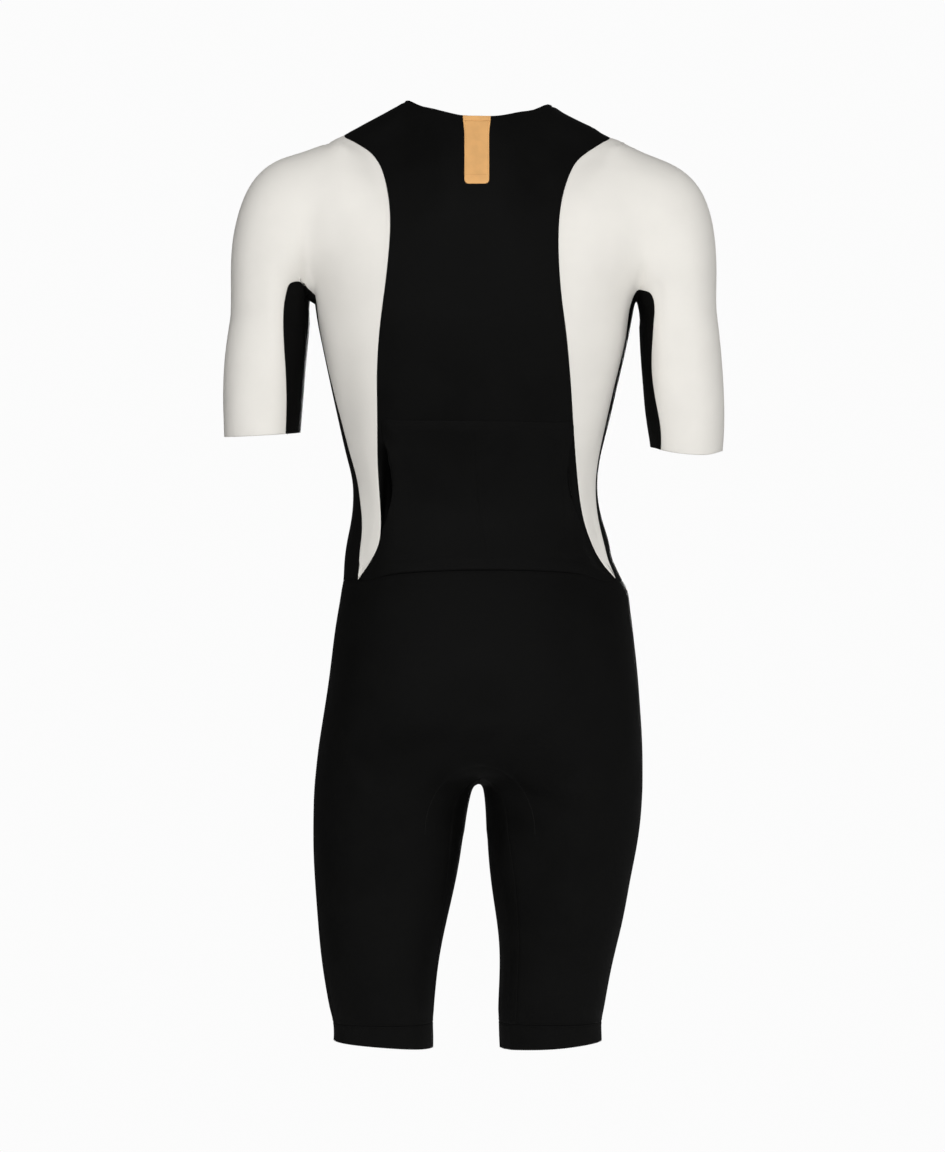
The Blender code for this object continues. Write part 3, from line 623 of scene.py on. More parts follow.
def pair_triangles(shape):
    """Joins triangles two by two, those with the fewest partners first."""
    shape.faces.index_update()
    partners = {face: {} for face in shape.faces}
    for edge in shape.edges:
        panels = [face.material_index for face in edge.link_faces]
        if len(panels) == 2 and panels[0] == panels[1]:
            first, second = edge.link_faces
            score = squareness(edge)
            if score is not None:
                partners[first][second] = partners[second][first] = (score, edge)
    done, merged = set(), []

    def rank(face):
        found = partners[face].items()
        live = [score for other, (score, _) in found if other not in done]
        return len(live), min(live, default=0), face.index, face

    queue = [rank(face) for face in shape.faces]
    heapq.heapify(queue)
    while queue:
        entry = heapq.heappop(queue)
        face = entry[3]
        if face in done:
            continue
        now = rank(face)
        if now[0] != entry[0]:
            heapq.heappush(queue, now)
            continue
        done.add(face)
        if not now[0]:
            continue
        live = [other for other in partners[face] if other not in done]
        partner = min(live, key=lambda other: partners[face][other][0])
        merged.append(partners[face][partner][1])
        done.add(partner)
        for other in list(partners[face]) + list(partners[partner]):
            if other not in done:
                heapq.heappush(queue, rank(other))
    bmesh.ops.dissolve_edges(shape, edges=merged, use_verts=False)


def drop(thing):
    mesh = thing.data
    bpy.data.objects.remove(thing, do_unlink=True)
    bpy.data.meshes.remove(mesh)


def smoothed(mesh, levels):
    """The mesh subdivided, with its cage moved so the smooth one keeps its places."""
    thing = linked("smoothing", mesh)
    modifier = thing.modifiers.new("smooth", "SUBSURF")
    modifier.levels = modifier.render_levels = 1
    target = coordinates(mesh)
    current = target.copy()
    for _ in range(FITTING_ROUNDS):
        shown = evaluated(thing)
        current += target - coordinates(shown)[: len(target)]
        bpy.data.meshes.remove(shown)
        mesh.vertices.foreach_set("co", current.ravel())
        mesh.update()
    modifier.levels = modifier.render_levels = levels
    smooth = evaluated(thing)
    drop(thing)
    return smooth


def unwrap(mesh, panels):
    """Lays the panels, a material each, out flat and upright, in real metres."""
    thing = linked("laying_out", mesh)
    bpy.context.view_layer.objects.active = thing
    thing.select_set(True)
    bpy.ops.object.mode_set(mode="EDIT")
    bpy.ops.mesh.select_all(action="SELECT")
    bpy.ops.uv.unwrap(method="ANGLE_BASED", margin=0.01)
    bpy.ops.object.mode_set(mode="OBJECT")
    shape = shape_of(mesh)
    layer = shape.loops.layers.uv.verify()
    for index in range(panels):
        faces = [face for face in shape.faces if face.material_index == index]
        loops = [loop for face in faces for loop in face.loops]
        flat = np.array([loop[layer].uv for loop in loops])
        real = sum(face.calc_area() for face in faces)
        laid, lean = 0, np.zeros(2)
        for face in faces:
            uv = [loop[layer].uv for loop in face.loops]
            laid += abs(sum(uv[i - 1].cross(uv[i]) for i in range(len(uv)))) / 2
        for loop in loops:
            after = loop.link_loop_next
            move = np.array(after[layer].uv - loop[layer].uv)
            lean += (after.vert.co - loop.vert.co).z * move
        flat *= math.sqrt(real / laid)
        turn = math.pi / 2 - math.atan2(lean[1], lean[0])
        c, s = math.cos(turn), math.sin(turn)
        flat = flat @ np.array([[c, s], [-s, c]])
        flat -= flat.min(0)
        for loop, place in zip(loops, flat):
            loop[layer].uv = place
    bpy.data.objects.remove(thing, do_unlink=True)
    return written(shape, mesh)


def ease(places):
    """The places, moved as the table of the cloth's ease says."""
    moved = places.copy()
    for centre, reach, move in EASE:
        away = (places - np.array(centre) * MM) / (np.array(reach) * MM)
        moved += np.exp(-(away**2).sum(1))[:, None] * np.array(move) * MM
    return moved


class Surface:
    """The suit's smooth outer surface, whole, with places found on it."""

    def __init__(self):
        whole = outer_sheets()
        sew(whole)
        pair_triangles(whole)
        for edge in whole.edges:
            edge.seam = len({face.material_index for face in edge.link_faces}) > 1
        for name in ("hem_band_left", "hem_band_right"):
            part_band(whole, list(PANELS).index(name))
        cage = unwrap(written(whole, "suit_cage"), len(PANELS))
        self.mesh = smoothed(cage, SMOOTHING)
        self.even(EVENED)
        self.straighten(SEAM_ROUNDS)
        self.move(ease(coordinates(self.mesh)))
        self.even(RIDGES)
        self.slide()
        for (x, z), reach, rounds in ARMPITS:
            self.straighten(rounds, (x * MM, z * MM, reach * MM))
        self.move(self.folded())

    def move(self, places):
        self.mesh.vertices.foreach_set("co", places.ravel())
        self.mesh.update()
        self.index()

    def even(self, spots):
        """Smooths the cloth around these spots."""
        shape = shape_of(self.mesh)
        for centre, reach, rounds in spots:
            middle = Vector(centre) * MM
            near = [v for v in shape.verts if (v.co - middle).length < reach * MM]
            for _ in range(rounds):
                bmesh.ops.smooth_vert(
                    shape, verts=near, factor=0.5, use_axis_x=True, use_axis_y=True,
                    use_axis_z=True,
                )
        self.take(shape)

    def take(self, shape):
        written(shape, self.mesh).update()
        self.index()

    def straighten(self, rounds, spot=None):
        """Takes the kinks out of the seams, or of those near a spot, on the surface."""
        shape = shape_of(self.mesh)
        seam = {}
        for edge in shape.edges:
            if len({face.material_index for face in edge.link_faces}) > 1:
                for v in edge.verts:
                    seam.setdefault(v, []).append(edge.other_vert(v))
        inner = {v: ends for v, ends in seam.items() if len(ends) == 2}
        if spot:
            x, z, reach = spot
            inner = {
                v: ends
                for v, ends in inner.items()
                if math.hypot(v.co.x - x, v.co.z - z) < reach
            }
        before = [v.co.copy() for v in inner]
        for _ in range(rounds):
            moved = {v: (a.co + b.co) / 4 + v.co / 2 for v, (a, b) in inner.items()}
            for v, place in moved.items():
                v.co = place
        shifts = [v.co - place for v, place in zip(inner, before)]
        tree = tree_of(before)
        for v in shape.verts:
            if v not in inner:
                _, i, distance = tree.find(v.co)
                v.co += shifts[i] * fading(distance, SEAM_PULL)
            if spot:
                v.co = self.tree.find_nearest(v.co)[0]
        self.take(shape)

    def slide(self):
        """Moves the seams along the cloth, except on the front."""
        places = coordinates(self.mesh)
        back = smooth_step((SLIDE_END - np.array(self.normals)[:, 1]) / SLIDE_FADE)
        moves = np.zeros_like(places)
        for centre, reach, move in SLIDES:
            away = (places[:, (0, 2)] - np.array(centre) * MM) / (np.array(reach) * MM)
            fade = np.exp(-(away**2).sum(1)) * back
            moves += fade[:, None] * np.array(move) * MM
        for i in np.nonzero(np.linalg.norm(moves, axis=1) > 0.01 * MM)[0]:
            places[i] = self.tree.find_nearest(Vector(places[i] + moves[i]))[0]
        self.move(places)

    def pressed(self, shape):
        """Sinks a panel behind the pocket's hand openings, and marks how deep it sinks
        there, for painted shade.
        """
        tree = edge_tree(shape)
        layer = shape.verts.layers.float.new("deep")
        for points, width, depth in HOLLOWS:
            spots = [spot for spot, _ in traced(points, 1 * MM)[::3]]
            for v in shape.verts:
                gap, i = min(
                    (math.hypot(v.co.x - spot.x, v.co.z - spot.z), i)
                    for i, spot in enumerate(spots)
                )
                share = math.sin(math.pi * (i + 0.5) / len(spots)) ** HOLLOW_TAPER
                share *= fading(gap, width * MM)
                if share > 0.01:
                    share *= smooth_step(tree.find(v.co)[2] / HOLLOW_RIM)
                    v.co.y += depth * MM * share
                    # how deep it lies, by which the black knit is darkened there as
                    # painted shade
                    v[layer] = max(v[layer], share * depth / DEEPEST_HOLLOW)

    def folded(self):
        """The surface's places with the soft folds and the seat pad's relief."""
        places, normals = coordinates(self.mesh), np.array(self.normals)
        facing = {
            side: smooth_step(side * normals[:, 1] / TURN + 0.5) for side in (-1, 1)
        }
        depth = np.zeros(len(places))
        for side, points, width, deep in FOLDS:
            spots = np.array([(spot.x, spot.z) for spot, _ in traced(points, 3 * MM)])
            gaps = np.linalg.norm(places[:, None, (0, 2)] - spots[None], axis=2)
            nearest = gaps.argmin(1)
            taper = np.sin(math.pi * (nearest + 0.5) / len(spots)) ** FOLD_TAPER
            near = np.exp(-((gaps.min(1) / (width * MM)) ** 2))
            depth += facing[side] * taper * near * deep * MM
        for side, (x, z), half, high, relief in PADS:
            across = (places[:, 0] - x * MM) / (half * MM)
            up = np.maximum(places[:, 2] - z * MM, 0) / (high * MM)
            inside = smooth_step((1 - np.hypot(across, up)) * half / PAD_SIDE)
            foot = places[:, 2] - (z - PAD_FOOT) * MM
            inside *= smooth_step(foot / (PAD_FOOT * MM))
            depth -= facing[side] * inside * relief * MM
        return places - normals * depth[:, None]

    def index(self):
        """Takes stock of the surface's points, faces and seams."""
        self.points = [v.co.copy() for v in self.mesh.vertices]
        self.normals = [v.normal.copy() for v in self.mesh.vertices]
        faces = [face.vertices for face in self.mesh.polygons]
        self.tree = BVHTree.FromPolygons(self.points, faces)
        self.near = tree_of(self.points)
        sides = {}
        for face in self.mesh.polygons:
            for edge in face.edge_keys:
                sides.setdefault(edge, []).append(face.material_index)
        self.seams = {}
        for edge, panels in sides.items():
            if len(panels) == 1:
                panels = [panels[0], OPEN]
            if panels[0] != panels[1]:
                self.seams.setdefault(frozenset(panels), []).append(edge)

    def normal_at(self, point):
        return self.normals[self.near.find(point)[1]]

    def lift(self, point, height):
        """The place this high above the surface, nearest to a point."""
        place, normal, _, _ = self.tree.find_nearest(point)
        return place + normal * height

    def lines(self, first, second=None):
        """The seams between two panels, or a panel's open edges, as lists of points."""
        names = list(PANELS)
        beyond = names.index(second) if second else OPEN
        onward = {}
        for a, b in self.seams.get(frozenset((names.index(first), beyond)), []):
            onward.setdefault(a, []).append(b)
            onward.setdefault(b, []).append(a)
        found = []
        while onward:
            ends = [i for i, others in onward.items() if len(others) == 1]
            line = [ends[0] if ends else next(iter(onward))]
            while onward[line[-1]]:
                here = line[-1]
                after = onward[here][0]
                onward[here].remove(after)
                onward[after].remove(here)
                line.append(after)
            onward = {i: others for i, others in onward.items() if others}
            found.append([self.points[i] for i in line])
        return found


def surface():
    if "surface" not in work:
        work["surface"] = Surface()
    return work["surface"]


def mark_seams(mesh):
    """An attribute that fades from 1 on the piece's edges to 0 inside."""
    shape = shape_of(mesh)
    tree = edge_tree(shape)
    layer = shape.verts.layers.float.new("seam")
    for v in shape.verts:
        v[layer] = math.exp(-tree.find(v.co)[2] / SEAM_FADE)
    written(shape, mesh)


def mark_grip(mesh, low, high):
    """An attribute that is 1 inside a box and fades to 0 around it."""
    places = coordinates(mesh)
    low, high = np.array(low) * MM, np.array(high) * MM
    inside = np.minimum(places - low, high - places).min(1)
    share = smooth_step(inside / GRIP_FADE + 0.5)
    mesh.attributes.new("grip", "FLOAT", "POINT").data.foreach_set("value", share)


def dress(mesh, node, slot, flat, area, thickness):
    """Makes a mesh the cloth of a node, with its finish and its wall."""
    mesh.materials.append(finish(slot))
    mark_seams(mesh)
    mesh.shade_smooth()
    thing = linked(mesh.name, mesh)
    solidify = thing.modifiers.new("cloth", "SOLIDIFY")
    solidify.thickness = thickness
    solidify.offset = -1
    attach(thing, "suit")
    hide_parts(node)


def roll_edges(shape, width, depth):
    """Rolls the edges of an open sheet down over this width."""
    for thirds in (2, 1):
        bmesh.ops.inset_region(
            shape, faces=shape.faces[:], thickness=width * thirds / 3,
            use_boundary=True, use_even_offset=False,
        )
    edge = {v for v in shape.verts if v.is_boundary}
    second = {e.other_vert(v) for v in edge for e in v.link_edges} - edge
    for ring, share in zip((edge, second), ROLL):
        for v in ring:
            v.co -= surface().normal_at(v.co) * depth * share


class SUIT_OT_panels(bpy.types.Operator):
    """Builds the knit panels of the body, sleeves and shorts"""

    bl_idname = "suit.panels"
    bl_label = "Knit Panels"

    def execute(self, context):
        sizes = context.scene.suit_sizes
        for index, (name, (slot, flat, area)) in enumerate(PANELS.items()):
            shape = shape_of(surface().mesh)
            keep_faces(shape, {f for f in shape.faces if f.material_index == index})
            for face in shape.faces:
                face.material_index = 0
            roll_edges(shape, sizes.seam_width, sizes.seam_depth)
            if name == "back_centre":
                surface().pressed(shape)
            mesh = written(shape, f"{name}_cloth")
            if name in GRIPS:
                mark_grip(mesh, *GRIPS[name])
            dress(mesh, name, slot, flat, area, sizes.cloth)
        return {"FINISHED"}


# The pocket

POCKET_ENTRY = (-352 * MM, -456 * MM)  # the hand openings' upper and lower ends
ENTRY_FROM_CENTRE = 80 * MM
SEWN_RISE = 0.3  # how high the sewn edge stands, in walls of the cloth
POCKET_SLOPE = 11 * MM  # over which the pocket rises from its sewn edge
# How far in from an opening its pull and its gape reach, and how far from the sewn edge
# they are full.
PULL_REACH, PULL_FULL = 14 * MM, 20 * MM
GAPE_REACH, GAPE_FULL = 16 * MM, 30 * MM
GROOVE_DEPTH, GROOVE_WIDTH = 0.7 * MM, 1.8 * MM  # of the seam down the pocket's middle


def pocket_sheet():
    """The outer side of the pocket, smoothed and with its flat layout."""
    shape = frame_shape("back_pocket")
    sheets = separate_sheets(shape, POCKET_WALL)
    outer = min(sheets, key=lambda sheet: sum(face.normal.y for face in sheet))
    keep_faces(shape, set(outer))
    pair_triangles(shape)
    for face in shape.faces:
        face.material_index = 0
    return smoothed(unwrap(written(shape, "pocket_cage"), 1), POCKET_SMOOTHING)


class SUIT_OT_pocket(bpy.types.Operator):
    """Builds the pocket across the small of the back"""

    bl_idname = "suit.pocket"
    bl_label = "Back Pocket"

    def execute(self, context):
        sizes = context.scene.suit_sizes
        shape = shape_of(pocket_sheet())
        edge = [v for v in shape.verts if v.is_boundary]
        centre = sum(v.co.x for v in edge) / len(edge)
        top, bottom = POCKET_ENTRY
        entry, sewn = [], []
        for v in edge:
            aside = abs(v.co.x - centre) > ENTRY_FROM_CENTRE
            (entry if aside and bottom < v.co.z < top else sewn).append(v.co.copy())
        entry, sewn = tree_of(entry), tree_of(sewn)
        middle = [(spot.x, spot.z) for spot, _ in traced(POCKET_ROWS[1], 2 * MM)]
        for v in shape.verts:
            from_sewn, from_entry = sewn.find(v.co)[2], entry.find(v.co)[2]
            from_middle = min(math.hypot(v.co.x - x, v.co.z - z) for x, z in middle)
            pulled = fading(from_entry, PULL_REACH) * smooth_step(from_sewn / PULL_FULL)
            v.co.x -= math.copysign(sizes.entry_pull * pulled, v.co.x)
            height = sizes.cloth * SEWN_RISE
            height += sizes.pocket_height * smooth_step(from_sewn / POCKET_SLOPE)
            height -= GROOVE_DEPTH * fading(from_middle, GROOVE_WIDTH)
            gape = fading(from_entry, GAPE_REACH) * smooth_step(from_sewn / GAPE_FULL)
            v.co = surface().lift(v.co, height + sizes.pocket_gape * gape)
        shape.normal_update()
        work["pocket"] = BVHTree.FromBMesh(shape)
        mesh = written(shape, "back_pocket_cloth")
        dress(mesh, "back_pocket", "black_knit", *POCKET_CUT, sizes.cloth)
        return {"FINISHED"}


# Woven strips: the neck tab and the zip's tapes


def strip(name, side, columns, rows, place):
    """A sheet that looks to the back (-1) or the front (1), with its points placed.

    place gives a point and its flat layout for its share of the columns and rows.
    """
    shape = bmesh.new()
    bmesh.ops.create_grid(
        shape, x_segments=columns, y_segments=rows, size=0.5, calc_uvs=True
    )
    layer = shape.loops.layers.uv.verify()
    spots = {v: (v.co.x + 0.5, v.co.y + 0.5) for v in shape.verts}
    for v, (across, along) in spots.items():
        v.co, _ = place(across, along)
    for face in shape.faces:
        for loop in face.loops:
            loop[layer].uv = place(*spots[loop.vert])[1]
    mesh = written(shape, name)
    if mesh.polygons[0].normal.y * side < 0:
        mesh.flip_normals()
    return mesh


TAB_FACES = (32, 130)
TAB_ASIDE = 0.6 * MM
TAB_FLARE = 1.6 * MM  # how far each side spreads towards the neck
TAB_FLARE_FROM = 0.72  # from this share of the tab's length on
TAB_REACH_FROM = 0.6  # and from here it is drawn out to the neck's edge
TAB_SHORT = 0.4 * MM  # how far below that edge it ends
TAB_LEAN = 0.6 * MM  # and this much lower it touches the back
TAB_FOLD = 4.2 * MM  # the part folded over the neck's edge
FOLD_DEPTH = FOLD_WIDTH = 0.9 * MM
TAB_ROLL, TAB_ROLL_SHARE = 1.6 * MM, 0.28  # how its edges roll down
BEHIND = 0.2  # a look at the suit's back starts this far behind the neck


class SUIT_OT_neck_tab(bpy.types.Operator):
    """Builds the bare woven tab below the back of the neck"""

    bl_idname = "suit.neck_tab"
    bl_label = "Neck Tab"

    def execute(self, context):
        sizes = context.scene.suit_sizes
        low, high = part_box("neck_tab")
        middle, half = (low.x + high.x) / 2 + TAB_ASIDE, sizes.tab_width / 2
        bottom, length = low.z, high.z - low.z
        inner_x, inner_z = half - sizes.tab_corner, bottom + sizes.tab_corner
        rim = max(surface().lines("back_centre"), key=len)

        def neck(x):
            """The height of the neck's edge at this distance from the tab's middle."""
            return min(rim, key=lambda point: abs(point.x - middle - x)).z

        def place(across, along):
            x, z = (2 * across - 1) * half, bottom + along * length
            if abs(x) > inner_x and z < inner_z:
                away = Vector((abs(x) - inner_x, inner_z - z))
                away = away.normalized() * max(away)
                x, z = math.copysign(inner_x + away.x, x), inner_z - away.y
            flare = smooth_step((along - TAB_FLARE_FROM) / (1 - TAB_FLARE_FROM))
            wide = x + math.copysign(TAB_FLARE, x) * flare
            reach = smooth_step((along - TAB_REACH_FROM) / (1 - TAB_REACH_FROM))
            z += reach * (neck(wide) - TAB_SHORT - high.z)
            start = Vector((middle + wide, low.y - BEHIND, z - TAB_LEAN * reach))
            point, normal, _, _ = surface().tree.ray_cast(start, Vector((0, 1, 0)))
            inside = smooth_step(min(half - abs(x), along * length) / TAB_ROLL)
            height = sizes.tab_height * (1 - TAB_ROLL_SHARE * (1 - inside))
            height -= FOLD_DEPTH * fading((1 - along) * length - TAB_FOLD, FOLD_WIDTH)
            spot = point + normal * height
            spot.z = max(spot.z, z) if reach > 0.99 else spot.z
            return spot, (x, z)

        mesh = strip("neck_tab_cloth", -1, *TAB_FACES, place)
        points = [v.co for v in mesh.vertices]
        work["tab"] = BVHTree.FromPolygons(points, [f.vertices for f in mesh.polygons])
        dress(mesh, "neck_tab", "tab_fabric", *TAB_CUT, sizes.tab_thickness)
        return {"FINISHED"}


TOOTH_ASIDE = 0.5 * MM
TOOTH_SIZE = (2 * MM, 0.9 * MM, 1.1 * MM)
TOOTH_HEAD = (1, 0.7, 0.8)
TOOTH_ROUNDING = 0.2 * MM
TAPE_STEP = 4 * MM
TAPE_COLUMNS = 10
TAPE_ROLL, TAPE_ROLL_SHARE = 0.15, 0.25  # how a tape's outer edge rolls down


def tooth():
    """One loop of the zip's coil, as a rounded block that is narrower at its head."""
    shape = bmesh.new()
    bmesh.ops.create_cube(shape, size=1)
    bmesh.ops.scale(shape, vec=TOOTH_SIZE, verts=shape.verts)
    head = [v for v in shape.verts if v.co.x < 0]
    bmesh.ops.scale(shape, vec=TOOTH_HEAD, verts=head)
    bmesh.ops.bevel(
        shape, geom=shape.edges[:], offset=TOOTH_ROUNDING, affect="EDGES", segments=1,
        profile=0.5, material=-1,
    )
    return written(shape, "tooth")


def stitch(length, width):
    """One stitch: a short thread that sinks into the cloth at its ends."""
    shape = bmesh.new()
    bmesh.ops.create_icosphere(shape, subdivisions=1, radius=0.5)
    size = (length, width, width * THREAD_FLATNESS)
    bmesh.ops.scale(shape, vec=size, verts=shape.verts)
    return written(shape, "stitch")


def repeat(name, mesh, spots, finish_name):
    """One piece of many copies of a small shape, each with a place, a way and an up."""
    shape = bmesh.new()
    for place, way, up in spots:
        side = up.cross(way).normalized()
        turn = Matrix((way, side, way.cross(side))).transposed().to_4x4()
        copy = mesh.copy()
        copy.transform(Matrix.Translation(place) @ turn)
        shape.from_mesh(copy)
        bpy.data.meshes.remove(copy)
    bpy.data.meshes.remove(mesh)
    joined = written(shape, name)
    joined.materials.append(finish(finish_name))
    joined.shade_smooth()
    thing = linked(name, joined)
    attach(thing, "suit")


class SUIT_OT_zip(bpy.types.Operator):
    """Builds the zip's tapes and teeth"""

    bl_idname = "suit.zip"
    bl_label = "Front Zip"

    def execute(self, context):
        sizes = context.scene.suit_sizes
        line = max(surface().lines("front_left", "front_right"), key=len)
        if line[0].z < line[-1].z:
            line.reverse()
        steps = resampled(line, TAPE_STEP)
        rows = len(steps) - 1
        inner, outer = sizes.zip_gap / 2, sizes.tape_width
        for side, word in ((-1, "left"), (1, "right")):

            def place(across, along):
                point, way = steps[round(along * rows)]
                aside = way.cross(surface().normal_at(point)).normalized()
                aside *= math.copysign(1, aside.x * side)
                distance = inner + across * (outer - inner)
                rolled = smooth_step((across - 1 + TAPE_ROLL) / TAPE_ROLL)
                height = sizes.tape_height * (1 - TAPE_ROLL_SHARE * rolled)
                spot = surface().lift(point + aside * distance, height)
                return spot, (distance * side, -along * TAPE_STEP * rows)

            node = f"zip_tape_{word}"
            mesh = strip(f"{node}_cloth", 1, TAPE_COLUMNS, rows, place)
            dress(mesh, node, "zip_tape", *TAPE_CUT, sizes.tape_thickness)
        steps = resampled(line, sizes.tooth_pitch / 2)
        spots = []
        for i, (point, way) in enumerate(steps[2:-2]):
            normal = surface().normal_at(point)
            aside = way.cross(normal).normalized() * (1 if i % 2 else -1)
            spot = surface().lift(point + aside * TOOTH_ASIDE, sizes.tape_height)
            spots.append((spot, aside, normal))
        repeat("zip_teeth", tooth(), spots, "teeth")
        for name in ("zip_slider", "zip_pull"):
            for spot in frame["nodes"][name].material_slots:
                spot.material = finish("zip_metal")
        return {"FINISHED"}


# Stitching

SEAM_ASIDE = 2.2 * MM  # from a seam to the row of stitches beside it
THREAD_RISE = 0.06 * MM
THREAD_FLATNESS = 0.8
TAB_STITCH, TAB_PITCH = 1.6 * MM, 2 * MM
PAD_THREAD = 1.3  # the width of its thread, in widths of the usual one
# Rows beside open edges, as the panels along the edge and the rows' distances from it.
EDGE_ROWS = [
    (("back_centre", "front_left", "front_right"), (2, 7)),
    (("sleeve_left", "sleeve_right", "side_left", "side_right"), (4, 16)),
    (("hem_band_left", "hem_band_right"), (2.5,)),
]
# Rows drawn on the pocket, as (x, z) in millimetres: along its upper edge, down its
# middle and beside its two hand openings.
POCKET_ROWS = [
    [(-98, -344), (-40, -343), (30, -344), (90, -347)],
    [(-4, -350), (-2, -378), (0, -420), (6, -455), (10, -486)],
    [(-91, -354), (-87, -376), (-86, -412), (-90, -452)],
    [(92, -356), (89, -380), (88, -412), (91, -446)],
]
# Rows drawn on the neck tab, with x from its middle: along its fold and round its edge.
TAB_ROWS = [
    [(-13.2, -19.6), (13.2, -20.4)],
    [(-11, -83.5), (-11, -45), (-12, -21)],
    [(12, -21), (11, -45), (11, -83.5), (-11, -83.5)],
]


def beside(line, panel, aside, pitch):
    """Places for the stitches of a row on a panel, this far from a line."""
    names = list(PANELS)
    faces = surface().mesh.polygons
    spots = []
    for point, way in resampled(line, pitch):
        normal = surface().normal_at(point)
        across = way.cross(normal).normalized() * aside
        for move in (across, -across):
            place, _, index, _ = surface().tree.find_nearest(point + move)
            if names[faces[index].material_index] == panel:
                spots.append((place + normal * THREAD_RISE, way, normal))
                break
    return spots


def drawn(line, side, tree, pitch):
    """Places for stitches along a line drawn on the back (-1) or the front (1)."""
    spots = []
    for point, way in traced(line, pitch, side):
        place, up, _, _ = tree.ray_cast(point, Vector((0, -side, 0)))
        if place is None:
            continue
        if up.y * side < 0:
            up = -up
        way = (way - up * way.dot(up)).normalized()
        spots.append((place + up * THREAD_RISE, way, up))
    return spots


def pad_outline(middle, half, high):
    """The half ellipse of a seat pad, from end to end of its straight lower edge."""
    x, z = middle
    turns = [math.pi * i / 24 for i in range(25)]
    return [(x - half * math.cos(t), z + high * math.sin(t)) for t in turns]


class SUIT_OT_stitching(bpy.types.Operator):
    """Sews the stitches beside seams and edges and on the pocket, tab and seat pad"""

    bl_idname = "suit.stitching"
    bl_label = "Stitching"

    def execute(self, context):
        sizes = context.scene.suit_sizes
        pitch = sizes.stitch_pitch
        names = list(PANELS)
        black, white, tan, pad = [], [], [], []
        for pair in surface().seams:
            pair = [names[i] for i in sorted(pair) if i != OPEN]
            if len(pair) < 2 or pair == ["front_left", "front_right"]:
                continue
            for panel in pair:
                if PANELS[panel][0] == "black_knit":
                    for line in surface().lines(*pair):
                        black += beside(line, panel, SEAM_ASIDE, pitch)
        for panels, rows in EDGE_ROWS:
            for panel in panels:
                found = white if PANELS[panel][0] == "white_knit" else black
                for line in surface().lines(panel):
                    for row in rows:
                        found += beside(line, panel, row * MM, pitch)
        for row in POCKET_ROWS:
            black += drawn(row, -1, work["pocket"], pitch)
        low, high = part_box("neck_tab")
        middle = ((low.x + high.x) / 2 + TAB_ASIDE) / MM
        for row in TAB_ROWS:
            row = [(middle + x, z) for x, z in row]
            tan += drawn(row, -1, work["tab"], TAB_PITCH)
        for side, where, half, high, _ in PADS:
            pad += drawn(pad_outline(where, half, high), side, surface().tree, pitch)
        for name, spots, slot, thread, long, wide in (
            ("black", black, "black_knit", "thread", sizes.stitch, 1),
            ("white", white, "white_knit", "white_thread", sizes.stitch, 1),
            ("tab", tan, "tab_fabric", "tab_thread", TAB_STITCH, 1),
            ("pad", pad, "black_knit", "pad_thread", sizes.stitch, PAD_THREAD),
        ):
            shape = stitch(long, sizes.thread * wide)
            repeat(f"{name}_stitching", shape, spots, thread)
        return {"FINISHED"}


# Materials


class Value:
    """A socket of a material's nodes; arithmetic on it adds the nodes that do it."""

    def __init__(self, finish, socket):
        self.finish, self.socket = finish, socket

    def math(self, operation, *values):
        inputs = dict(enumerate(values))
        return self.finish.node("ShaderNodeMath", {"operation": operation}, inputs)

    def __add__(self, other):
        return self.math("ADD", self, other)

    def __sub__(self, other):
        return self.math("SUBTRACT", self, other)

    def __rsub__(self, other):
        return self.math("SUBTRACT", other, self)

    def __mul__(self, other):
        return self.math("MULTIPLY", self, other)

    def __truediv__(self, other):
        return self.math("DIVIDE", self, other)

    __radd__, __rmul__ = __add__, __mul__

    def sine(self):
        return self.math("SINE", self)

    def size(self):
        return self.math("ABSOLUTE", self)

    def fraction(self):
        return self.math("FRACT", self)

    def between(self, low, high):
        """0 below low and 1 above high, eased between them."""
        settings = {"interpolation_type": "SMOOTHSTEP"}
        inputs = {0: self, 1: low, 2: high}
        return self.finish.node("ShaderNodeMapRange", settings, inputs)


class Finish:
    """A material under construction."""

    def __init__(self, name):
        self.material = bpy.data.materials.new(f"suit_{name}")
        self.material.use_nodes = True
        self.tree = self.material.node_tree
        self.shader = self.tree.nodes["Principled BSDF"]

    def node(self, kind, settings=None, inputs=None, output=0):
        made = self.tree.nodes.new(kind)
        for name, value in (settings or {}).items():
            setattr(made, name, value)
        for place, value in (inputs or {}).items():
            self.put(made.inputs[place], value)
        return Value(self, made.outputs[output])

    def put(self, socket, value):
        if isinstance(value, Value):
            self.tree.links.new(value.socket, socket)
        else:
            socket.default_value = value

    def set(self, **values):
        """Sets the shader's own sockets; Base_Color stands for Base Color."""
        for name, value in values.items():
            self.put(self.shader.inputs[name.replace("_", " ")], value)

    def place(self):
        return self.node("ShaderNodeTexCoord", output="Object")

    def flat(self):
        """Places on the flat cloth, in metres: along its courses and its wales."""
        inputs = {0: self.node("ShaderNodeUVMap")}
        return [self.node("ShaderNodeSeparateXYZ", None, inputs, i) for i in (0, 1)]

    def noise(self, scale, detail):
        inputs = {"Vector": self.place(), "Scale": scale, "Detail": detail}
        return self.node("ShaderNodeTexNoise", inputs=inputs)

    def attribute(self, name):
        return self.node("ShaderNodeAttribute", {"attribute_name": name}, output="Fac")

    def mix(self, share, first, second):
        colours = [c if isinstance(c, Value) else (*c, 1) for c in (first, second)]
        inputs = {0: share, 6: colours[0], 7: colours[1]}
        return self.node("ShaderNodeMix", {"data_type": "RGBA"}, inputs, output=2)

    def bump(self, height, depth, under=None):
        """Raises the surface by height, from 0 to 1, times this depth in metres."""
        inputs = {"Height": height, "Distance": depth, "Strength": 1.0}
        if under:
            inputs["Normal"] = under
        return self.node("ShaderNodeBump", inputs=inputs)


def shade(colour, share):
    return tuple(channel * share for channel in colour)


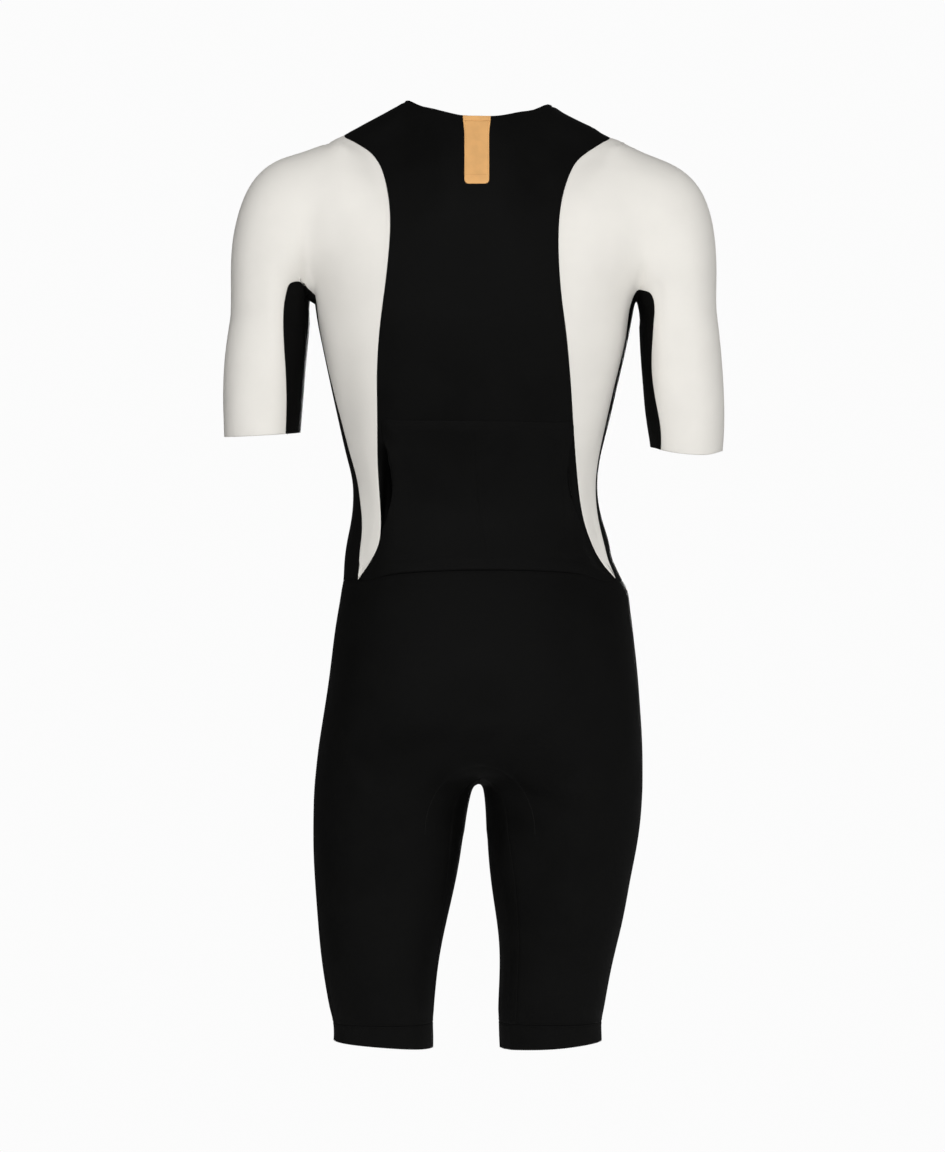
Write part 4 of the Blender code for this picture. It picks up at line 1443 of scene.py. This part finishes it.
def knit(made, wale, course):
    """The height of a warp knit: columns of small slanted loops."""
    across, along = made.flat()
    column = across / wale
    middle = (column.fraction() - 0.5).size()
    ridge = 1 - middle * 2
    loop = ((along / course + middle * 1.2) * (2 * math.pi)).sine() * 0.5 + 0.5
    return ridge * 0.6 + ridge * loop * 0.4


def grip_dots(made, pitch):
    """Small raised dots in staggered rows, where the panel's grip attribute is set."""
    across, along = made.flat()
    turn = 2 * math.pi / pitch
    dots = (across * turn).sine() * (along * turn).sine()
    return dots.between(0.1, 0.7) * made.attribute("grip")


def black_knit():
    colour = bpy.context.scene.suit_colours.black
    made = Finish("black_knit")
    dots = grip_dots(made, 3.2 * MM)
    cloudy = made.noise(22, 3).between(0.3, 0.7)
    fibres = made.noise(2600, 2)
    base = made.mix(cloudy, shade(colour, 0.86), shade(colour, 1.14))
    base = made.mix(fibres.between(0.35, 0.7) * 0.35, base, shade(colour, 2.2))
    base = made.mix(dots * 0.5, base, shade(colour, 3.5))
    # painted shade: the cloth sunk behind the pocket's hand openings is darkened as if
    # unlit
    base = made.mix(made.attribute("deep").between(0.1, 0.6), base, shade(colour, 0.08))
    pucker = made.bump(made.noise(260, 1) * made.attribute("seam"), 0.5 * MM)
    loops = made.bump(knit(made, 0.8 * MM, 0.65 * MM), 0.10 * MM, pucker)
    made.set(
        Base_Color=base,
        Roughness=0.52 + 0.14 * cloudy,
        Normal=made.bump(dots, 0.25 * MM, loops),
        Specular_IOR_Level=0.03,
    )
    return made.material


def white_knit():
    colour = bpy.context.scene.suit_colours.white
    made = Finish("white_knit")
    dots = grip_dots(made, 2.6 * MM)
    cloudy = made.noise(14, 3).between(0.3, 0.7)
    fibres = made.noise(2200, 2).between(0.3, 0.75)
    base = made.mix(cloudy, shade(colour, 0.975), shade(colour, 1.02))
    base = made.mix(fibres * 0.12, base, shade(colour, 0.86))
    # painted shade: the white darkens towards its seams as if shaded in their grooves
    base = made.mix(made.attribute("seam") * 0.25, base, shade(colour, 0.88))
    base = made.mix(dots * 0.5, base, shade(colour, 0.66))
    pucker = made.bump(made.noise(240, 1) * made.attribute("seam"), 0.5 * MM)
    loops = made.bump(knit(made, 1.1 * MM, 0.9 * MM), 0.12 * MM, pucker)
    made.set(
        Base_Color=base,
        Roughness=0.72 + 0.12 * fibres,
        Normal=made.bump(dots, 0.22 * MM, loops),
        Specular_IOR_Level=0.1,
    )
    return made.material


def twill(made, thread):
    """The height of a fine twill weave: threads that cross in steps."""
    across, along = made.flat()
    warp = (across * (math.pi / thread)).sine().size()
    slant = ((across + along) * (math.pi / thread)).sine().size()
    return warp * 0.5 + slant * 0.5


def tab_fabric():
    colour = bpy.context.scene.suit_colours.tan
    made = Finish("tab_fabric")
    weave = twill(made, 0.6 * MM)
    cloudy = made.noise(90, 3).between(0.3, 0.7)
    base = made.mix(cloudy, shade(colour, 0.93), shade(colour, 1.05))
    base = made.mix(weave * 0.25, base, shade(colour, 1.25))
    # painted highlight: the tab is lighter towards its rolled edges
    base = made.mix(made.attribute("seam") * 0.4, base, shade(colour, 1.3))
    made.set(
        Base_Color=base,
        Roughness=0.5 + 0.15 * cloudy,
        Normal=made.bump(weave, 0.09 * MM),
        Specular_IOR_Level=0.15,
    )
    return made.material


def zip_tape():
    colour = bpy.context.scene.suit_colours.black
    made = Finish("zip_tape")
    weave = twill(made, 0.45 * MM)
    worn = made.noise(140, 3).between(0.3, 0.7)
    base = made.mix(weave * 0.6, shade(colour, 0.9), shade(colour, 2.4))
    made.set(
        Base_Color=made.mix(worn * 0.4, base, shade(colour, 1.5)),
        Roughness=0.62 + 0.12 * worn,
        Normal=made.bump(weave, 0.1 * MM),
        Specular_IOR_Level=0.25,
    )
    return made.material


def zip_metal():
    colour = bpy.context.scene.suit_colours.metal
    made = Finish("zip_metal")
    brushed = made.noise(900, 4)
    worn = made.noise(320, 3).between(0.52, 0.72)
    made.set(
        Base_Color=made.mix(worn * 0.6, shade(colour, 0.8), shade(colour, 3)),
        Metallic=0.9,
        Roughness=0.3 + 0.14 * brushed,
        Normal=made.bump(brushed, 0.015 * MM),
    )
    return made.material


# Sewing threads: the setting that gives each its colour, and the share of it.
THREADS = {
    "thread": ("thread", 1),
    "pad_thread": ("pad_thread", 1),
    "white_thread": ("white", 0.7),
    "tab_thread": ("tan", 0.62),
}


def threaded(name):
    """Twisted sewing thread of one colour."""
    setting, share = THREADS[name]
    colour = shade(getattr(bpy.context.scene.suit_colours, setting), share)
    made = Finish(name)
    plies = made.noise(3000, 2)
    made.set(
        Base_Color=made.mix(plies, shade(colour, 0.8), shade(colour, 1.6)),
        Roughness=0.5 + 0.1 * plies,
        Normal=made.bump(plies, 0.05 * MM),
        Specular_IOR_Level=0.03,
    )
    return made.material


def teeth():
    """The black nylon of the zip's coil."""
    colour = bpy.context.scene.suit_colours.thread
    made = Finish("teeth")
    rubbed = made.noise(700, 3).between(0.45, 0.75)
    made.set(
        Base_Color=made.mix(rubbed, shade(colour, 1.6), shade(colour, 4)),
        Roughness=0.36 + 0.12 * rubbed,
        Normal=made.bump(rubbed, 0.02 * MM),
        Specular_IOR_Level=0.4,
    )
    return made.material


def floor():
    """A pale floor that fades out towards its rim."""
    made = Finish("floor")
    level = {0: made.place(), 1: (1, 1, 0)}
    level = {0: made.node("ShaderNodeVectorMath", {"operation": "MULTIPLY"}, level)}
    away = made.node("ShaderNodeVectorMath", {"operation": "LENGTH"}, level, output=1)
    made.set(
        Base_Color=made.mix(made.noise(3, 2), (0.86, 0.86, 0.85), (0.9, 0.9, 0.89)),
        Roughness=0.7,
        Emission_Color=(1, 1, 1, 1),
        Emission_Strength=0.3,
    )
    clear = made.node("ShaderNodeBsdfTransparent")
    solid = Value(made, made.shader.outputs[0])
    fade = away.between(*FLOOR_FADE)
    mixed = made.node("ShaderNodeMixShader", inputs={0: fade, 1: solid, 2: clear})
    made.tree.links.new(mixed.socket, made.tree.nodes["Material Output"].inputs[0])
    return made.material


FINISHES = {
    made.__name__: made
    for made in (black_knit, white_knit, tab_fabric, zip_tape, zip_metal, teeth, floor)
}


def finish(name):
    """The material of this name, made when it is first asked for."""
    made = bpy.data.materials.get(f"suit_{name}")
    if made:
        return made
    return threaded(name) if name in THREADS else FINISHES[name]()


# Stage

FLOOR_RADIUS = 1.5
FLOOR_FADE = (0.5, 1.45)  # it fades out between these distances from its middle
FLOOR_HEIGHT = -1.31

# Each light: its place, what it points at, its size and its power in watts.
LIGHTS = {
    "key": ((-0.2, -4.2, 1.0), (0, 0, -0.4), (2.4, 2.0), 143),
    "left": ((-3.2, -2.2, 0.5), (-0.2, 0, -0.1), (1.2, 1.2), 19),
    "right": ((3.2, -1.0, -0.9), (0, 0, -0.65), (0.9, 1.4), 20),
    "front": ((0.5, 4.2, 0.1), (0, 0, -0.5), (1.2, 1.2), 120),
}
BACKDROP = 0.97  # how bright the world is as the camera sees it
AMBIENT = (0.06, 0.28)  # and as it lights the suit, on the left and on the right
CAMERA_PLACE = (-0.005775, -5.0, -0.4977)
LENS, SENSOR = 148.81, 36  # in the camera's millimetres


class SUIT_OT_stage(bpy.types.Operator):
    """Sets up the pale floor, the soft lights and the camera"""

    bl_idname = "suit.stage"
    bl_label = "Stage"

    def execute(self, context):
        camera = linked("camera", bpy.data.cameras.new("camera"))
        camera.location = CAMERA_PLACE
        camera.rotation_euler = (math.pi / 2, 0, 0)
        camera.data.sensor_width, camera.data.lens = SENSOR, LENS
        context.scene.camera = camera
        for name, (place, aim, size, power) in LIGHTS.items():
            light = linked(name, bpy.data.lights.new(name, "AREA"))
            light.location = place
            light.data.shape = "RECTANGLE"
            light.data.size, light.data.size_y = size
            light.data.energy = power
            way = Vector(aim) - Vector(place)
            light.rotation_euler = way.to_track_quat("-Z", "Y").to_euler()
        shape = bmesh.new()
        bmesh.ops.create_circle(shape, cap_ends=True, radius=FLOOR_RADIUS, segments=96)
        bmesh.ops.translate(shape, vec=(0, 0, FLOOR_HEIGHT), verts=shape.verts)
        thing = linked("floor", written(shape, "floor"))
        thing.data.materials.append(finish("floor"))
        world = bpy.data.worlds.new("studio")
        context.scene.world = world
        world.use_nodes = True
        nodes, links = world.node_tree.nodes, world.node_tree.links
        way, parts, brightness, lit, ray, mix = (
            nodes.new(f"ShaderNode{kind}")
            for kind in (
                "TexCoord", "SeparateXYZ", "MapRange",
                "Background", "LightPath", "MixShader",
            )
        )
        seen = nodes["Background"]
        seen.inputs["Strength"].default_value = BACKDROP
        for background in (seen, lit):
            background.inputs["Color"].default_value = (1, 1, 1, 1)
        for side, low, high in (("From", -1, 1), ("To", *AMBIENT)):
            brightness.inputs[f"{side} Min"].default_value = low
            brightness.inputs[f"{side} Max"].default_value = high
        links.new(way.outputs["Generated"], parts.inputs[0])
        links.new(parts.outputs["X"], brightness.inputs["Value"])
        links.new(brightness.outputs[0], lit.inputs["Strength"])
        links.new(ray.outputs["Is Camera Ray"], mix.inputs[0])
        links.new(lit.outputs[0], mix.inputs[1])
        links.new(seen.outputs[0], mix.inputs[2])
        links.new(mix.outputs[0], nodes["World Output"].inputs[0])
        context.scene.view_settings.view_transform = "Standard"
        return {"FINISHED"}


class SUIT_PT_panel(bpy.types.Panel):
    """Lists what builds the suit"""

    bl_label = "Triathlon Suit"
    bl_idname = "SUIT_PT_panel"
    bl_space_type = "VIEW_3D"
    bl_region_type = "UI"
    bl_category = "Suit"

    def draw(self, context):
        for group in (context.scene.suit_sizes, context.scene.suit_colours):
            for field in group.__annotations__:
                self.layout.prop(group, field)
        for operator in OPERATORS:
            self.layout.operator(operator.bl_idname)


OPERATORS = (
    SUIT_OT_panels,
    SUIT_OT_pocket,
    SUIT_OT_neck_tab,
    SUIT_OT_zip,
    SUIT_OT_stitching,
    SUIT_OT_stage,
)
CLASSES = (SuitSizes, SuitColours, *OPERATORS, SUIT_PT_panel)


def register():
    for made in CLASSES:
        bpy.utils.register_class(made)
    bpy.types.Scene.suit_sizes = bpy.props.PointerProperty(type=SuitSizes)
    bpy.types.Scene.suit_colours = bpy.props.PointerProperty(type=SuitColours)


def unregister():
    del bpy.types.Scene.suit_sizes, bpy.types.Scene.suit_colours
    for made in reversed(CLASSES):
        bpy.utils.unregister_class(made)


def main():
    register()
    bpy.ops.suit.panels()
    bpy.ops.suit.pocket()
    bpy.ops.suit.neck_tab()
    bpy.ops.suit.zip()
    bpy.ops.suit.stitching()
    bpy.ops.suit.stage()


if __name__ == "__main__":
    main()
